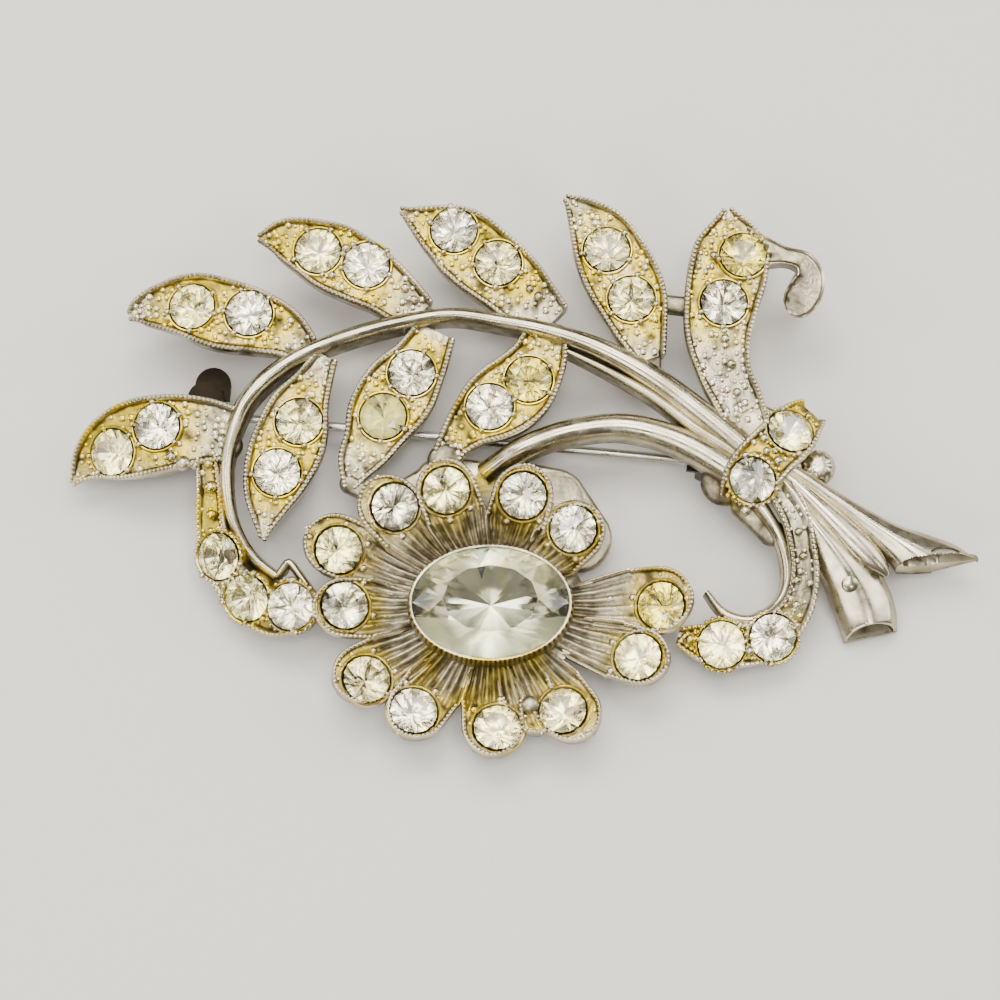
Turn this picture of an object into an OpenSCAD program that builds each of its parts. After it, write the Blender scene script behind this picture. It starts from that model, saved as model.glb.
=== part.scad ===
// Flower spray brooch set with rhinestones, lying on its back with the pin closed.
// The brooch is drawn in the plane of its casting: x to the right, y to the top of the
// design, z up from the pin's side. The last step lays it down on its hinge, its catch and
// the flower's cup, which lifts its top edge by the lying angle.

/* [Stones] */
// Diameter of each round stone
stone_d = 4.2; // [4.0:0.1:4.3]
// Height of a round stone's crown above its girdle
crown_h = 0.75; // [0.6:0.05:0.9]
// Depth of a round stone below its girdle
pavilion_h = 1.5; // [1.3:0.05:1.55]
// Length of the oval centre stone
oval_l = 14; // [13.6:0.1:14.2]
// Width of the oval centre stone
oval_w = 10; // [9.6:0.1:10.2]
// Height of the oval stone's crown above its girdle
oval_crown_h = 2.2; // [1.8:0.1:2.6]
// Depth of the oval stone below its girdle
oval_pavilion_h = 3.6; // [3:0.1:3.8]

/* [Casting] */
// Thickness of leaves and bands, from the rim to the back
band_thick = 2.3; // [2.2:0.1:2.3]
// Width of the raised rim round a leaf
rim_w = 0.75; // [0.5:0.05:0.9]
// Depth of the dished field inside the rim
dish_h = 0.45; // [0.35:0.05:0.6]
// Wall of the cup round a stone
cup_wall = 0.34; // [0.28:0.02:0.4]
// Thickness of a flower petal
petal_thick = 1.3; // [1.1:0.1:1.5]
// Angle by which the petals and their stones lean in towards the middle
petal_slope = 16; // [12:1:18]
// Thickness of the plate behind the flower
plate_thick = 1.0; // [0.8:0.1:1.1]

/* [Pin] */
// Diameter of the pin's wire
pin_d = 0.86; // [0.7:0.02:0.9]
// Length from the hinge's rivet to the pin's point
pin_l = 48.8; // [48:0.1:49.4]
// Diameter of the hinge's rivet
rivet_d = 0.9; // [0.8:0.05:1]
// Play between the rivet and the pin's eye, all round
eye_play = 0.06; // [0.03:0.01:0.1]

/* [Lying] */
// Angle by which the casting stands up along its top edge when the brooch lies on its back
lying_angle = 6; // [5.5:0.1:6.5]

/* [Hidden] */
gap = 0.07;              // between a stone, or the flower, and the metal that holds it
girdle_down = 0.25;      // a stone's girdle lies this far under the rims beside it
sides = 12;              // of a round stone's girdle and of its cup
back_z = 4.3;            // flat back of the casting, where the hinge and catch are fixed

// Columns of the tables of sections: the middle of the top, half the width there, and the
// angle by which the top leans over to the right of the run. Leaves and stems have no lean.
X = 0;
Y = 1;
TOP = 2;
HALF = 3;
LEAN = 4;

// The leaves and the face of the ribbon, each from its foot to its tip.
leaves = [
    [[-26.0, 3.7, 6.6, 2.6], [-28.9, 4.0, 6.6, 3.2], [-31.8, 3.85, 6.6, 3.6], [-34.9, 3.4, 6.0, 3.7],
     [-37.4, 2.6, 5.1, 3.2], [-39.3, 1.5, 4.1, 2.0], [-40.8, -0.2, 3.2, 0.3]],
    [[-19.4, 11.6, 6.6, 1.5], [-21.7, 13.3, 6.6, 2.5], [-24.3, 14.3, 6.6, 3.1], [-27.1, 15.0, 6.5, 3.4],
     [-30.0, 15.9, 6.1, 3.2], [-32.7, 16.0, 5.5, 2.4], [-34.8, 15.7, 5.0, 1.5], [-35.9, 15.2, 4.7, 0.5]],
    [[-9.2, 14.8, 6.6, 2.0], [-12.0, 17.3, 6.6, 2.6], [-14.4, 18.9, 6.6, 3.1], [-17.1, 20.4, 6.6, 3.3],
     [-19.7, 21.6, 6.5, 2.7], [-22.0, 22.3, 6.3, 1.9], [-24.1, 22.3, 6.0, 0.3]],
    [[3.0, 14.2, 6.6, 2.2], [1.1, 16.0, 6.6, 2.8], [-1.1, 18.3, 6.6, 3.3], [-3.5, 20.3, 6.6, 3.5],
     [-5.7, 22.2, 6.5, 3.3], [-7.9, 23.4, 6.4, 2.3], [-10.9, 25.0, 6.1, 0.3]],
    [[12.0, 10.8, 6.6, 1.5], [11.1, 13.7, 6.6, 2.6], [10.2, 16.7, 6.6, 3.4], [8.9, 19.6, 6.5, 3.5],
     [7.5, 22.6, 6.3, 3.0], [5.9, 24.8, 6.0, 1.8], [4.3, 26.4, 5.6, 0.3]],
    [[-17.6, 11.0, 6.5, 1.2], [-18.8, 8.4, 6.6, 1.9], [-20.0, 5.9, 6.6, 2.9], [-20.8, 3.1, 6.6, 3.4],
     [-21.8, 0.4, 6.5, 3.2], [-22.6, -2.4, 6.3, 2.3], [-23.1, -5.9, 5.8, 0.3]],
    [[-7.6, 13.4, 6.5, 2.0], [-9.0, 10.6, 6.6, 2.7], [-10.6, 8.2, 6.6, 3.5], [-12.3, 5.6, 6.6, 3.4],
     [-13.5, 3.1, 6.4, 2.6], [-14.7, 1.0, 6.0, 1.9], [-15.4, -1.2, 5.5, 0.6]],
    [[2.4, 12.7, 6.5, 2.2], [1.6, 10.4, 6.6, 2.8], [-0.1, 8.0, 6.6, 3.5], [-2.6, 6.1, 6.6, 3.3],
     [-4.8, 4.3, 6.3, 2.2], [-6.3, 2.4, 5.7, 1.5], [-6.9, 0.6, 5.0, 1.5]],
    [[20.7, 4.4, 7.0, 2.1], [19.8, 7.0, 6.8, 2.3], [18.7, 9.6, 6.7, 2.5], [18.2, 13.0, 6.6, 3.1],
     [18.6, 16.3, 6.6, 3.5], [19.3, 19.6, 6.5, 3.7], [19.5, 22.5, 6.2, 3.0], [19.3, 25.2, 5.8, 0.5]],
];

// Stems, from the knot outwards.
main_stem = [
    [21.0, 1.8, 7.4, 1.3], [17.5, 4.9, 7.3, 1.25], [12.4, 8.9, 7.3, 1.15], [7.4, 11.7, 7.4, 0.95],
    [2.8, 13.3, 7.4, 0.8], [-1.7, 14.2, 7.4, 0.75], [-6.3, 14.8, 7.4, 0.7], [-10.9, 14.1, 7.3, 0.75],
    [-15.4, 12.9, 7.2, 0.8], [-19.5, 11.3, 7.1, 0.8], [-22.7, 9.2, 7.0, 0.85], [-24.7, 7.0, 6.9, 0.85],
    [-25.8, 4.6, 6.9, 0.8], [-26.4, 2.0, 6.8, 0.65], [-26.5, -0.6, 6.7, 0.6], [-26.1, -3.4, 6.6, 0.55],
    [-25.0, -6.0, 6.5, 0.5], [-23.7, -7.8, 6.4, 0.5], [-21.8, -9.3, 6.3, 0.45],
];
lower_strand = [
    [19.6, 1.9, 6.9, 0.6], [16.0, 4.3, 6.7, 0.6], [12.2, 7.2, 6.6, 0.55], [8.0, 9.7, 6.5, 0.45],
    [4.2, 11.6, 6.4, 0.3],
];
branch_stem = [
    [20.4, -0.4, 7.2, 1.4], [16.4, 2.2, 7.2, 1.4], [12.8, 3.8, 7.1, 1.3], [9.2, 4.5, 7.1, 1.25],
    [5.5, 4.2, 7.0, 1.2], [2.4, 3.4, 6.8, 1.15], [-0.4, 2.2, 6.4, 1.1], [-3.4, 0.2, 5.4, 1.1],
];
long_tail = [
    [22.4, 1.4, 7.2, 0.6], [24.9, 0.2, 7.1, 0.6], [29.3, -2.8, 6.8, 0.8], [31.4, -4.3, 6.7, 1.1],
    [33.6, -5.8, 6.7, 1.5], [35.6, -7.1, 6.7, 2.3], [37.7, -8.6, 6.8, 3.0], [39.7, -10.1, 6.9, 3.0],
];
short_tail = [
    [22.8, 0.45, 7.0, 0.8], [24.65, -1.75, 7.0, 1.0], [26.35, -4.35, 6.8, 1.4], [28.25, -6.75, 6.4, 2.0],
    [30.1, -9.3, 5.8, 2.5], [31.35, -11.95, 5.1, 2.8], [31.95, -14.75, 4.6, 2.5],
];
middle_flute = [
    [22.75, 0.95, 7.1, 0.6], [24.85, -0.85, 7.1, 0.7], [27.65, -3.45, 6.9, 1.1], [30.35, -6.05, 6.5, 1.5],
    [32.3, -8.05, 5.9, 1.3], [33.2, -9.15, 5.3, 0.5],
];
spike = [
    [-21.9, -9.4, 6.0, 0.4], [-21.4, -8.9, 6.4, 0.4], [-20.7, -8.1, 6.6, 0.4], [-19.9, -9.0, 6.4, 0.4],
    [-18.9, -10.4, 6.2, 0.4],
];
scroll_wire = [
    [21.6, -2.6, 6.4, 0.8], [23.4, -5.6, 6.2, 0.6], [24.1, -9.0, 6.1, 0.55], [23.2, -11.8, 6.0, 0.55],
    [20.8, -13.2, 5.9, 0.5], [18.4, -12.6, 5.9, 0.45], [16.8, -10.7, 5.9, 0.3],
];

// Bands that carry stones or curl over.
flourish = [
    [-28.35, 1.65, 6.4, 1.0, 0], [-28.05, -2.05, 6.1, 1.3, 12], [-27.95, -4.8, 5.9, 1.5, 22],
    [-27.4, -7.35, 5.8, 1.7, 30], [-26.2, -9.6, 5.7, 1.9, 32], [-24.45, -11.5, 5.8, 2.1, 28],
    [-22.45, -12.75, 6.0, 2.1, 18], [-20.55, -13.05, 6.3, 1.8, 8], [-19.35, -13.05, 6.4, 1.0, 0],
];
scroll = [
    [23.4, -1.05, 7.0, 1.4, 0], [24.85, -3.85, 6.9, 1.4, 0], [25.45, -6.6, 6.6, 1.3, -4],
    [25.65, -9.35, 6.4, 1.4, -10], [25.05, -11.95, 6.1, 1.6, -16], [23.6, -13.95, 5.9, 1.9, -18],
    [21.8, -15.25, 5.8, 2.0, -14], [19.8, -15.6, 5.7, 2.0, -8], [17.45, -15.55, 5.6, 1.9, -4],
    [15.7, -15.05, 5.4, 1.6, 0], [14.2, -14.65, 5.1, 0.9, 0],
];
ribbon_curl = [
    [20.5, 21.5, 6.3, 2.0, 0], [22.6, 20.9, 6.6, 1.4, 0], [24.5, 20.4, 6.9, 0.9, 0],
    [26.1, 19.8, 7.1, 1.0, -8], [26.7, 18.5, 7.0, 1.2, -10], [26.25, 17.15, 6.6, 1.35, -6],
    [25.5, 16.25, 6.1, 1.1, 0], [24.95, 15.9, 5.7, 0.6, 0],
];
knot_band = [
    [26.9, 6.1, 5.6, 1.6, 0], [25.6, 4.8, 7.1, 2.2, 0], [24.2, 3.1, 8.1, 2.5, 0],
    [22.5, 1.4, 8.6, 2.5, 0], [21.0, -0.2, 8.2, 2.5, 0], [20.0, -1.5, 7.0, 2.2, 0],
    [19.3, -2.5, 5.4, 1.5, 0],
];

// Stones: the leaf, how many sections along it, and how far to the left of its middle.
leaf_stones = [
    [0, 3.95, 0.4], [0, 2.33, -0.7], [1, 4.0, 0.1], [1, 2.2, -0.6], [2, 3.5, 0.1], [2, 2.0, -0.8],
    [3, 4.25, -0.5], [3, 2.5, -0.6], [4, 3.52, 0.12], [4, 1.9, 0], [5, 4.1, 0], [5, 2.35, 0.35],
    [6, 3.1, 0.1], [6, 1.5, 0], [7, 3.0, -0.15], [7, 1.6, 0.25],
];
ribbon_stones = [[8, 5.38, -1.2], [8, 3.93, -0.2]];
flourish_stones = [[3.1, 0.1], [4.92, 0], [6.98, 0.85]];
scroll_stones = [[5.55, 0.2], [7.7, -0.1]];
knot_stones = [[1.68, -0.15], [4.4, 0.4]];

// Flower: a row for each of its twelve lobes, two to a petal. The middle of the lobe's
// round end and its half width, then the stone in it and the height of that stone's girdle.
flower_at = [-2.57, -12.18];
LOBE_END = 0;
LOBE_HALF = 1;
STONE_AT = 2;
GIRDLE_Z = 3;
lobes = [
    [[-3.9, 10.3], 2.8, [-4.0, 10.4], 7.4], [[-9.0, 8.8], 2.9, [-8.6, 8.9], 7.3],
    [[7.5, 6.5], 2.7, [7.4, 6.9], 7.2], [[2.85, 9.8], 2.8, [2.9, 9.9], 7.4],
    [[13.1, -4.5], 2.7, [13.1, -4.6], 6.7], [[14.9, 0.6], 3.0, [15.2, 0.0], 7.0],
    [[0.2, -10.6], 2.8, [0.6, -10.9], 6.5], [[7.0, -9.4], 2.8, [6.4, -9.4], 6.6],
    [[-11.15, -6.05], 2.8, [-11.0, -6.6], 6.7], [[-6.4, -9.1], 2.8, [-6.8, -9.4], 6.5],
    [[-13.7, 5.4], 2.9, [-13.6, 5.0], 7.1], [[-12.9, -0.2], 2.8, [-13.0, 0.0], 6.9],
];
bare_lobes = [[[3.8, -9.0], 2.4, [3.8, -9.6], 6.3]];   // fills a petal between its two lobes
oval_girdle_z = 8.4;
cup_lip = 0.45;          // wall of the flower's cup round the oval stone
round_steps = [-1, -0.5, 0, 0.5, 0.85, 1];   // sections over a lobe's round end, in half widths

// Plate of the spray behind the flower, which shows past the top petals: x, y and radius.
plate_spots = [
    [-9.8, -2.4, 2.6], [-7.0, -0.6, 2.4], [-1.6, -1.2, 3.0], [3.1, -2.1, 3.3], [5.3, -5.5, 3.0],
];

// Short webs that tie leaves and scrolls to the stems: two ends and a radius.
webs = [
    [[-26.35, 3.0], [-28.05, 0.65], 1.2], [[-18.55, 11.55], [-20.6, 12.55], 1.15],
    [[-8.65, 14.6], [-10.65, 15.85], 1.15], [[2.05, 13.55], [1.35, 15.05], 1.55],
    [[11.85, 9.55], [11.85, 12.0], 1.2], [[13.05, 16.35], [16.2, 15.95], 0.85],
    [[-15.45, -0.65], [-11.55, -2.6], 0.85], [[-6.75, 1.45], [-6.0, -1.2], 1.6],
    [[-26.55, -6.0], [-26.0, -8.95], 0.75], [[-21.95, -9.25], [-22.05, -12.05], 0.6],
    [[20.35, -2.65], [22.85, -5.15], 1.35],
];

// The pin lies closed between the hinge and the catch.
hinge_at = [18.0, 2.0];
catch_at = [-28.3, 6.6];
pin_z = 1.7;
pin_run = catch_at - hinge_at;
pin_angle = atan2(pin_run[1], pin_run[0]);
catch_x = norm(pin_run);
point_l = 4.4;           // tapered part of the wire
neck_l = 1.5;            // the wire thickens over this length to meet its eye
neck_r = 0.62;
eye_r = 1.0;
eye_w = 1.4;
ear_w = 0.7;
ear_play = 0.12;         // between the pin's eye and each ear
ear_r = pin_z;
bracket_l = 5.2;
base_h = 0.6;            // thickness of the hinge's and the catch's base
base_top = back_z - pin_z - gap;
slot_w = 1.5;            // mouth of the catch
catch_w = 1.8;
strap_w = 3.3;

// Height, in the casting's own frame, of the surface that the brooch lies on.
ears_half = eye_w / 2 + ear_play + ear_w;
function floor_z(y) = -(y - hinge_at[1] + ears_half) * tan(lying_angle);
catch_r = norm([pin_z - floor_z(catch_at[1] - slot_w / 2), slot_w / 2]);
cup_back_z = floor_z(flower_at[1] - oval_w / 2 - cup_lip);

// Places the middle of the whole brooch over the origin.
middle = [0.14, -0.25];

function numbered(name, count) = [for (i = [1:count]) str(name, i)];
LEAF_STONES = numbered("leaf_stone_", len(leaf_stones));
RIBBON_STONES = numbered("ribbon_stone_", len(ribbon_stones));
FLOURISH_STONES = numbered("flourish_stone_", len(flourish_stones));
SCROLL_STONES = numbered("scroll_stone_", len(scroll_stones));
KNOT_STONES = numbered("knot_stone_", len(knot_stones));
PETAL_STONES = numbered("petal_stone_", len(lobes));

function unit(v) = v / norm(v);

// Smooth curve through the rows of a table: t runs from 0 to the last row's number.
function along(rows, t) =
    let (last = len(rows) - 1, i = min(floor(t), last - 1), f = t - i,
         a = rows[max(i - 1, 0)], b = rows[i], c = rows[i + 1], d = rows[min(i + 2, last)])
    (2 * b + (c - a) * f + (2 * a - 5 * b + 4 * c - d) * f * f
        + (3 * b - a - 3 * c + d) * f * f * f) / 2;

// Place on a strip: its point, the directions ahead, left and up, and the half width.
function placed(rows, t) =
    let (last = len(rows) - 1, row = along(rows, t), e = 0.02,
         step = along(rows, min(t + e, last)) - along(rows, max(t - e, 0)),
         ahead = unit([step[X], step[Y], step[TOP]]),
         level = unit(cross([0, 0, 1], ahead)), crest = cross(ahead, level),
         lean = len(row) > LEAN ? row[LEAN] : 0)
    [[row[X], row[Y], row[TOP]], ahead, level * cos(lean) + crest * sin(lean),
        crest * cos(lean) - level * sin(lean), row[HALF]];

// Sections, as points to the left and up from the middle of the top: a dished strip with
// raised rims, and a rounded stem.
function dished(half, thick, rim, dish) =
    let (r = min(rim, 0.6 * half), floor_h = -dish * r / rim, deep = min(thick, 0.8 + 0.9 * half))
    [[half - 0.3 * r, -deep], [half, -0.4], [half - 0.4 * r, 0], [half - r, floor_h],
     [r - half, floor_h], [0.4 * r - half, 0], [-half, -0.4], [0.3 * r - half, -deep]];
function rounded(half, thick) =
    [for (a = [-12:34:192])
        [half * cos(a), a < 0 || a > 180 ? -thick : min(half + 0.35, thick) * (sin(a) - 1)]];

// Solid through a list of rings of points, each ring with the same number of points.
module skin(rings) {
    ring = len(rings[0]);
    last = len(rings) - 1;
    walls = [for (i = [0:last - 1], j = [0:ring - 1])
        let (a = i * ring + j, b = i * ring + (j + 1) % ring)
        each [[a, b + ring, b], [a, a + ring, b + ring]]];
    near = [for (j = [0:ring - 1]) j];
    far = [for (j = [ring - 1:-1:0]) last * ring + j];
    polyhedron(points = [for (r = rings) each r], faces = concat([near], walls, [far]), convexity = 8);
}

// Rings of a strip at steps of t along its table.
function ring_at(place, section) = [for (s = section) place[0] + place[2] * s[0] + place[3] * s[1]];
module strip(rows, step = 1, thick = band_thick, rim = rim_w, dish = dish_h)
    skin([for (t = [0:step:len(rows) - 1]) let (p = placed(rows, t))
        ring_at(p, dished(max(p[4], 0.15), thick, rim, dish))]);
module stem(rows, thick, step = 1)
    skin([for (t = [0:step:len(rows) - 1]) let (p = placed(rows, t))
        ring_at(p, rounded(max(p[4], 0.15), thick))]);

// Puts a child where a stone sits on a strip, facing up from the strip's top.
module on_strip(rows, t, aside) {
    p = placed(rows, t);
    at = p[0] + p[2] * aside - p[3] * girdle_down;
    multmatrix([for (i = [0:2]) [p[1][i], p[2][i], p[3][i], at[i]]]) children();
}
module on_leaf(stone) on_strip(leaves[stone[0]], stone[1], stone[2]) children();
module on_band(rows, stone) on_strip(rows, stone[0], stone[1]) children();
module on_lobe(lobe) {
    at = flower_at + lobe[STONE_AT];
    translate([at[0], at[1], lobe[GIRDLE_Z]])
        rotate([0, 0, atan2(lobe[STONE_AT][1], lobe[STONE_AT][0])]) rotate([0, -petal_slope, 0]) children();
}

module at_leaf_stones() for (stone = concat(leaf_stones, ribbon_stones)) on_leaf(stone) children();
module at_band_stones() {
    for (stone = flourish_stones) on_band(flourish, stone) children();
    for (stone = scroll_stones) on_band(scroll, stone) children();
    for (stone = knot_stones) on_band(knot_band, stone) children();
}
module at_petal_stones() for (item = lobes) on_lobe(item) children();
module at_flower(z) translate([flower_at[0], flower_at[1], z]) children();

// Cut stone: a table, a crown of flat facets down to the girdle, and a pointed pavilion.
module cut_stone(length, width, crown, pavilion, table, girdle_sides) {
    n = girdle_sides / 2;
    top = [for (i = [0:n - 1]) let (a = 360 * i / n)
        [table * length / 2 * cos(a), table * width / 2 * sin(a), crown]];
    girdle = [for (i = [0:2 * n - 1]) let (a = 180 * i / n) [length / 2 * cos(a), width / 2 * sin(a), 0]];
    table_face = [[for (i = [n - 1:-1:0]) i]];
    crown_faces = [for (i = [0:n - 1])
        let (next = (i + 1) % n, g = n + 2 * i, h = n + (2 * i + 2) % (2 * n))
        each [[i, g + 1, g], [i, next, g + 1], [next, h, g + 1]]];
    pavilion_faces = [for (i = [0:2 * n - 1]) [n + i, n + (i + 1) % (2 * n), 3 * n]];
    polyhedron(points = concat(top, girdle, [[0, 0, -pavilion]]),
        faces = concat(table_face, crown_faces, pavilion_faces));
}
module round_stone()
    color([0.93, 0.92, 0.84]) cut_stone(stone_d, stone_d, crown_h, pavilion_h, 0.52, sides);

// Cup that holds a round stone, and what is cut away for the stone.
seat_r = stone_d / 2 + gap;
cup_deep = pavilion_h + 0.35;
module round_cup()
    hull()
        for (step = [[-cup_deep, 0.7], [girdle_down + 0.03, 1]])
            translate([0, 0, step[0]])
                cylinder(r = (seat_r + cup_wall) * step[1], h = 0.02, $fn = sides);
module cup_room()
    translate([0, 0, -cup_deep - gap]) cylinder(r = seat_r + cup_wall + gap, h = 5, $fn = sides);
module round_seat()
    rotate_extrude($fn = sides) polygon([[0, -pavilion_h - 0.12], [seat_r, -0.04], [seat_r, 2], [0, 2]]);

function ellipse(length, width) = [for (a = [0:10:350]) [length / 2 * cos(a), width / 2 * sin(a)]];

// What is cut away for the oval stone: steps of height and share of the full size.
module oval_seat()
    skin([for (step = [[-oval_pavilion_h - 0.25, 0.1], [-0.04, 1], [2, 1]])
        [for (p = ellipse(oval_l + 2 * gap, oval_w + 2 * gap)) [step[1] * p[0], step[1] * p[1], step[0]]]]);

module back_plate()
    translate([flower_at[0], flower_at[1], back_z - plate_thick + 0.1])
        for (i = [0:len(plate_spots) - 2])
            hull()
                for (spot = [plate_spots[i], plate_spots[i + 1]], inward = [1, 0.45])
                    translate([inward * (spot[0] - flower_at[0]), inward * (spot[1] - flower_at[1]), 0])
                        cylinder(r = spot[2], h = plate_thick, $fn = 12);

module web(a, b, r)
    hull()
        for (p = [a, b]) translate([p[0], p[1], back_z + 0.3]) cylinder(r = r, h = 1, $fn = 6);

// Solid core of the knot, where the stems run together, and the ribbed boss beside it.
module knot_core() {
    hull() {
        translate([19.0, 2.6, back_z]) cylinder(r = 2.4, h = 2.2, $fn = 12);
        translate([23.2, 0.4, back_z]) cylinder(r = 2.4, h = 2.4, $fn = 12);
        translate([21.8, 4.0, back_z]) cylinder(r = 2.4, h = 2.4, $fn = 12);
        translate([18.4, -0.6, back_z]) cylinder(r = 2.6, h = 0.9, $fn = 16);
    }
    hull()
        for (step = [[1.6, 1.2], [0.9, 2.1]])
            translate([27.1, 0.8, back_z]) cylinder(r = step[0], h = step[1], $fn = 12);
}

// The long tail flares like a trumpet and is cut off slantwise, with a hollow mouth.
module flared_tail()
    difference() {
        stem(long_tail, 2.6);
        translate([33.6, -8.0, 6.7]) rotate([-15, 0, 7.6]) {
            translate([-2, -9, -8]) cube([14, 9, 12]);
            translate([3.4, 0, -1.1]) scale([2.5, 1.4, 0.7]) sphere(r = 1, $fn = 12);
        }
    }

module mouth(rows, half) {
    p = placed(rows, len(rows) - 1);
    at = p[0] - p[3] * 1.0;
    multmatrix([for (i = [0:2]) [p[1][i], p[2][i], p[3][i], at[i]]])
        scale([1.5, half, 0.6]) sphere(r = 1, $fn = 12);
}

// The casting of leaves, stems, ribbon, knot, tails and scrolls.
module spray()
    color([0.78, 0.75, 0.66])
    difference() {
        union() {
            for (rows = leaves) strip(rows, step = 0.5);
            strip(flourish, step = 0.5);
            strip(scroll, step = 0.5);
            strip(ribbon_curl, step = 0.5, thick = 1.8);
            strip(knot_band, step = 0.5);
            stem(main_stem, 3.0);
            stem(lower_strand, 2.4);
            stem(branch_stem, 2.8, step = 0.5);
            stem(scroll_wire, 1.9);
            stem(spike, 1.6);
            stem(short_tail, 2.4, step = 0.5);
            stem(middle_flute, 2.2);
            flared_tail();
            back_plate();
            knot_core();
            for (w = webs) web(w[0], w[1], w[2]);
            at_band_stones() round_cup();
        }
        at_leaf_stones() round_seat();
        at_band_stones() round_seat();
        for (item = lobes) lobe_room(item);
        at_petal_stones() cup_room();
        mouth(short_tail, 1.8);
        at_flower(0) linear_extrude(height = 9)
            polygon(ellipse(oval_l + 2 * (cup_lip + gap), oval_w + 2 * (cup_lip + gap)));
    }

// Rows of a flower's lobe, from inside the cup's wall out over its round end. A row's run is
// its distance from the flower's middle.
function lobe_row(lobe, run, half) =
    let (p = flower_at + unit(lobe[LOBE_END]) * run)
    [p[0], p[1], lobe[GIRDLE_Z] + girdle_down + (run - norm(lobe[STONE_AT])) * tan(petal_slope), half];
function cup_edge(ahead) = 1 / norm([ahead[0] / (oval_l / 2 + cup_lip), ahead[1] / (oval_w / 2 + cup_lip)]);
function lobe_rows(lobe) =
    let (reach = norm(lobe[LOBE_END]), half = lobe[LOBE_HALF])
    concat([lobe_row(lobe, 0.9 * cup_edge(unit(lobe[LOBE_END])), 1.8)],
        [for (s = round_steps) lobe_row(lobe, reach + s * half, half * (s > 0 ? sqrt(1 - s * s) : 1))]);

// Room that a lobe takes up over the spray.
module lobe_room(lobe) {
    rows = lobe_rows([lobe[LOBE_END], lobe[LOBE_HALF] + gap, lobe[STONE_AT], lobe[GIRDLE_Z]]);
    skin([for (t = [0:len(rows) - 1])
        let (p = placed(rows, t), half = p[4] + gap)
        ring_at(p, [[half, -petal_thick - gap], [half, 3], [-half, 3], [-half, -petal_thick - gap]])]);
}

// The flower's casting: six petals of two lobes round the cup of the oval stone.
module flower()
    color([0.76, 0.72, 0.6])
    difference() {
        union() {
            intersection() {
                union() {
                    for (item = concat(lobes, bare_lobes))
                        strip(lobe_rows(item), thick = petal_thick, rim = 0.5, dish = 0.3);
                    at_petal_stones() round_cup();
                    at_flower(4) linear_extrude(height = 1.1) polygon(ellipse(oval_l + 3.6, oval_w + 3.6));
                }
                at_flower(back_z + 0.1 + gap) translate([-20, -20, 0]) cube([40, 40, 6]);
            }
            at_flower(cup_back_z) linear_extrude(height = oval_girdle_z + 0.25 - cup_back_z)
                polygon(ellipse(oval_l + 2 * cup_lip, oval_w + 2 * cup_lip));
        }
        at_petal_stones() round_seat();
        at_flower(oval_girdle_z) oval_seat();
    }

module centre_stone()
    color([0.85, 0.9, 0.84]) at_flower(oval_girdle_z)
    cut_stone(oval_l, oval_w, oval_crown_h, oval_pavilion_h, 0.6, 32);

// Moves a child from the pin's own frame, x along the wire from the rivet, to its place.
module at_pin() translate([hinge_at[0], hinge_at[1], pin_z]) rotate([0, 0, pin_angle]) children();
module across(r, w) rotate([90, 0, 0]) cylinder(r = r, h = w, center = true, $fn = 48);

// Bracket on the back of the casting: a base, two ears and the rivet between them.
module hinge()
    color([0.66, 0.63, 0.55]) at_pin() {
        translate([-bracket_l / 2, -ears_half, base_top - base_h]) cube([bracket_l, 2 * ears_half, base_h]);
        for (side = [-1, 1])
            translate([0, side * (ears_half - ear_w / 2), 0]) {
                across(ear_r, ear_w);
                translate([-ear_r, -ear_w / 2, 0]) cube([2 * ear_r, ear_w, base_top - base_h / 2]);
            }
        across(rivet_d / 2, 2 * ears_half - ear_w);
    }

// Steel pin: an eye that turns on the rivet, a straight wire and a point.
module pin_stem()
    color([0.7, 0.7, 0.7]) at_pin()
    difference() {
        union() {
            across(eye_r, eye_w);
            translate([eye_r * 0.7, 0, 0]) rotate([0, 90, 0])
                cylinder(d = pin_d, h = pin_l - point_l - eye_r * 0.7, $fn = 48);
            translate([eye_r * 0.7, 0, 0]) rotate([0, 90, 0])
                cylinder(r1 = neck_r, r2 = pin_d / 2, h = neck_l, $fn = 48);
            translate([pin_l - point_l, 0, 0]) rotate([0, 90, 0])
                cylinder(r1 = pin_d / 2, r2 = 0.08, h = point_l, $fn = 48);
        }
        across(rivet_d / 2 + eye_play, eye_w + 1);
    }

// Flat strap that runs from a round end to a straight one.
module strap(from_y, to_y, thick) {
    translate([-strap_w / 2, from_y, 0]) cube([strap_w, to_y - from_y, thick]);
    translate([0, from_y, 0]) cylinder(r = strap_w / 2, h = thick, $fn = 48);
}

// Catch: a round body with a mouth for the wire, on a round-ended base, with a round tab.
module catch()
    color([0.5, 0.47, 0.4]) at_pin() {
        translate([catch_x, 0, 0])
            difference() {
                rotate([0, 90, 0]) cylinder(r = catch_r, h = catch_w, center = true, $fn = 64);
                translate([-catch_w, -slot_w / 2, -2 * catch_r]) cube([2 * catch_w, slot_w, 2 * catch_r]);
                rotate([0, 90, 0]) cylinder(d = slot_w, h = 2 * catch_w, center = true, $fn = 48);
            }
        translate([catch_x + 0.5, 0, base_top - base_h]) strap(-0.85, 2.0, base_h);
        translate([catch_x + 0.1, 0, 0.6]) strap(-2.5, -1.2, 0.7);
    }

// Lays the brooch on its back, with the surface at z = 0.
module laid()
    translate([-middle[0], -middle[1], -floor_z(0) * cos(lying_angle)])
    rotate([lying_angle, 0, 0]) children();

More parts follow.
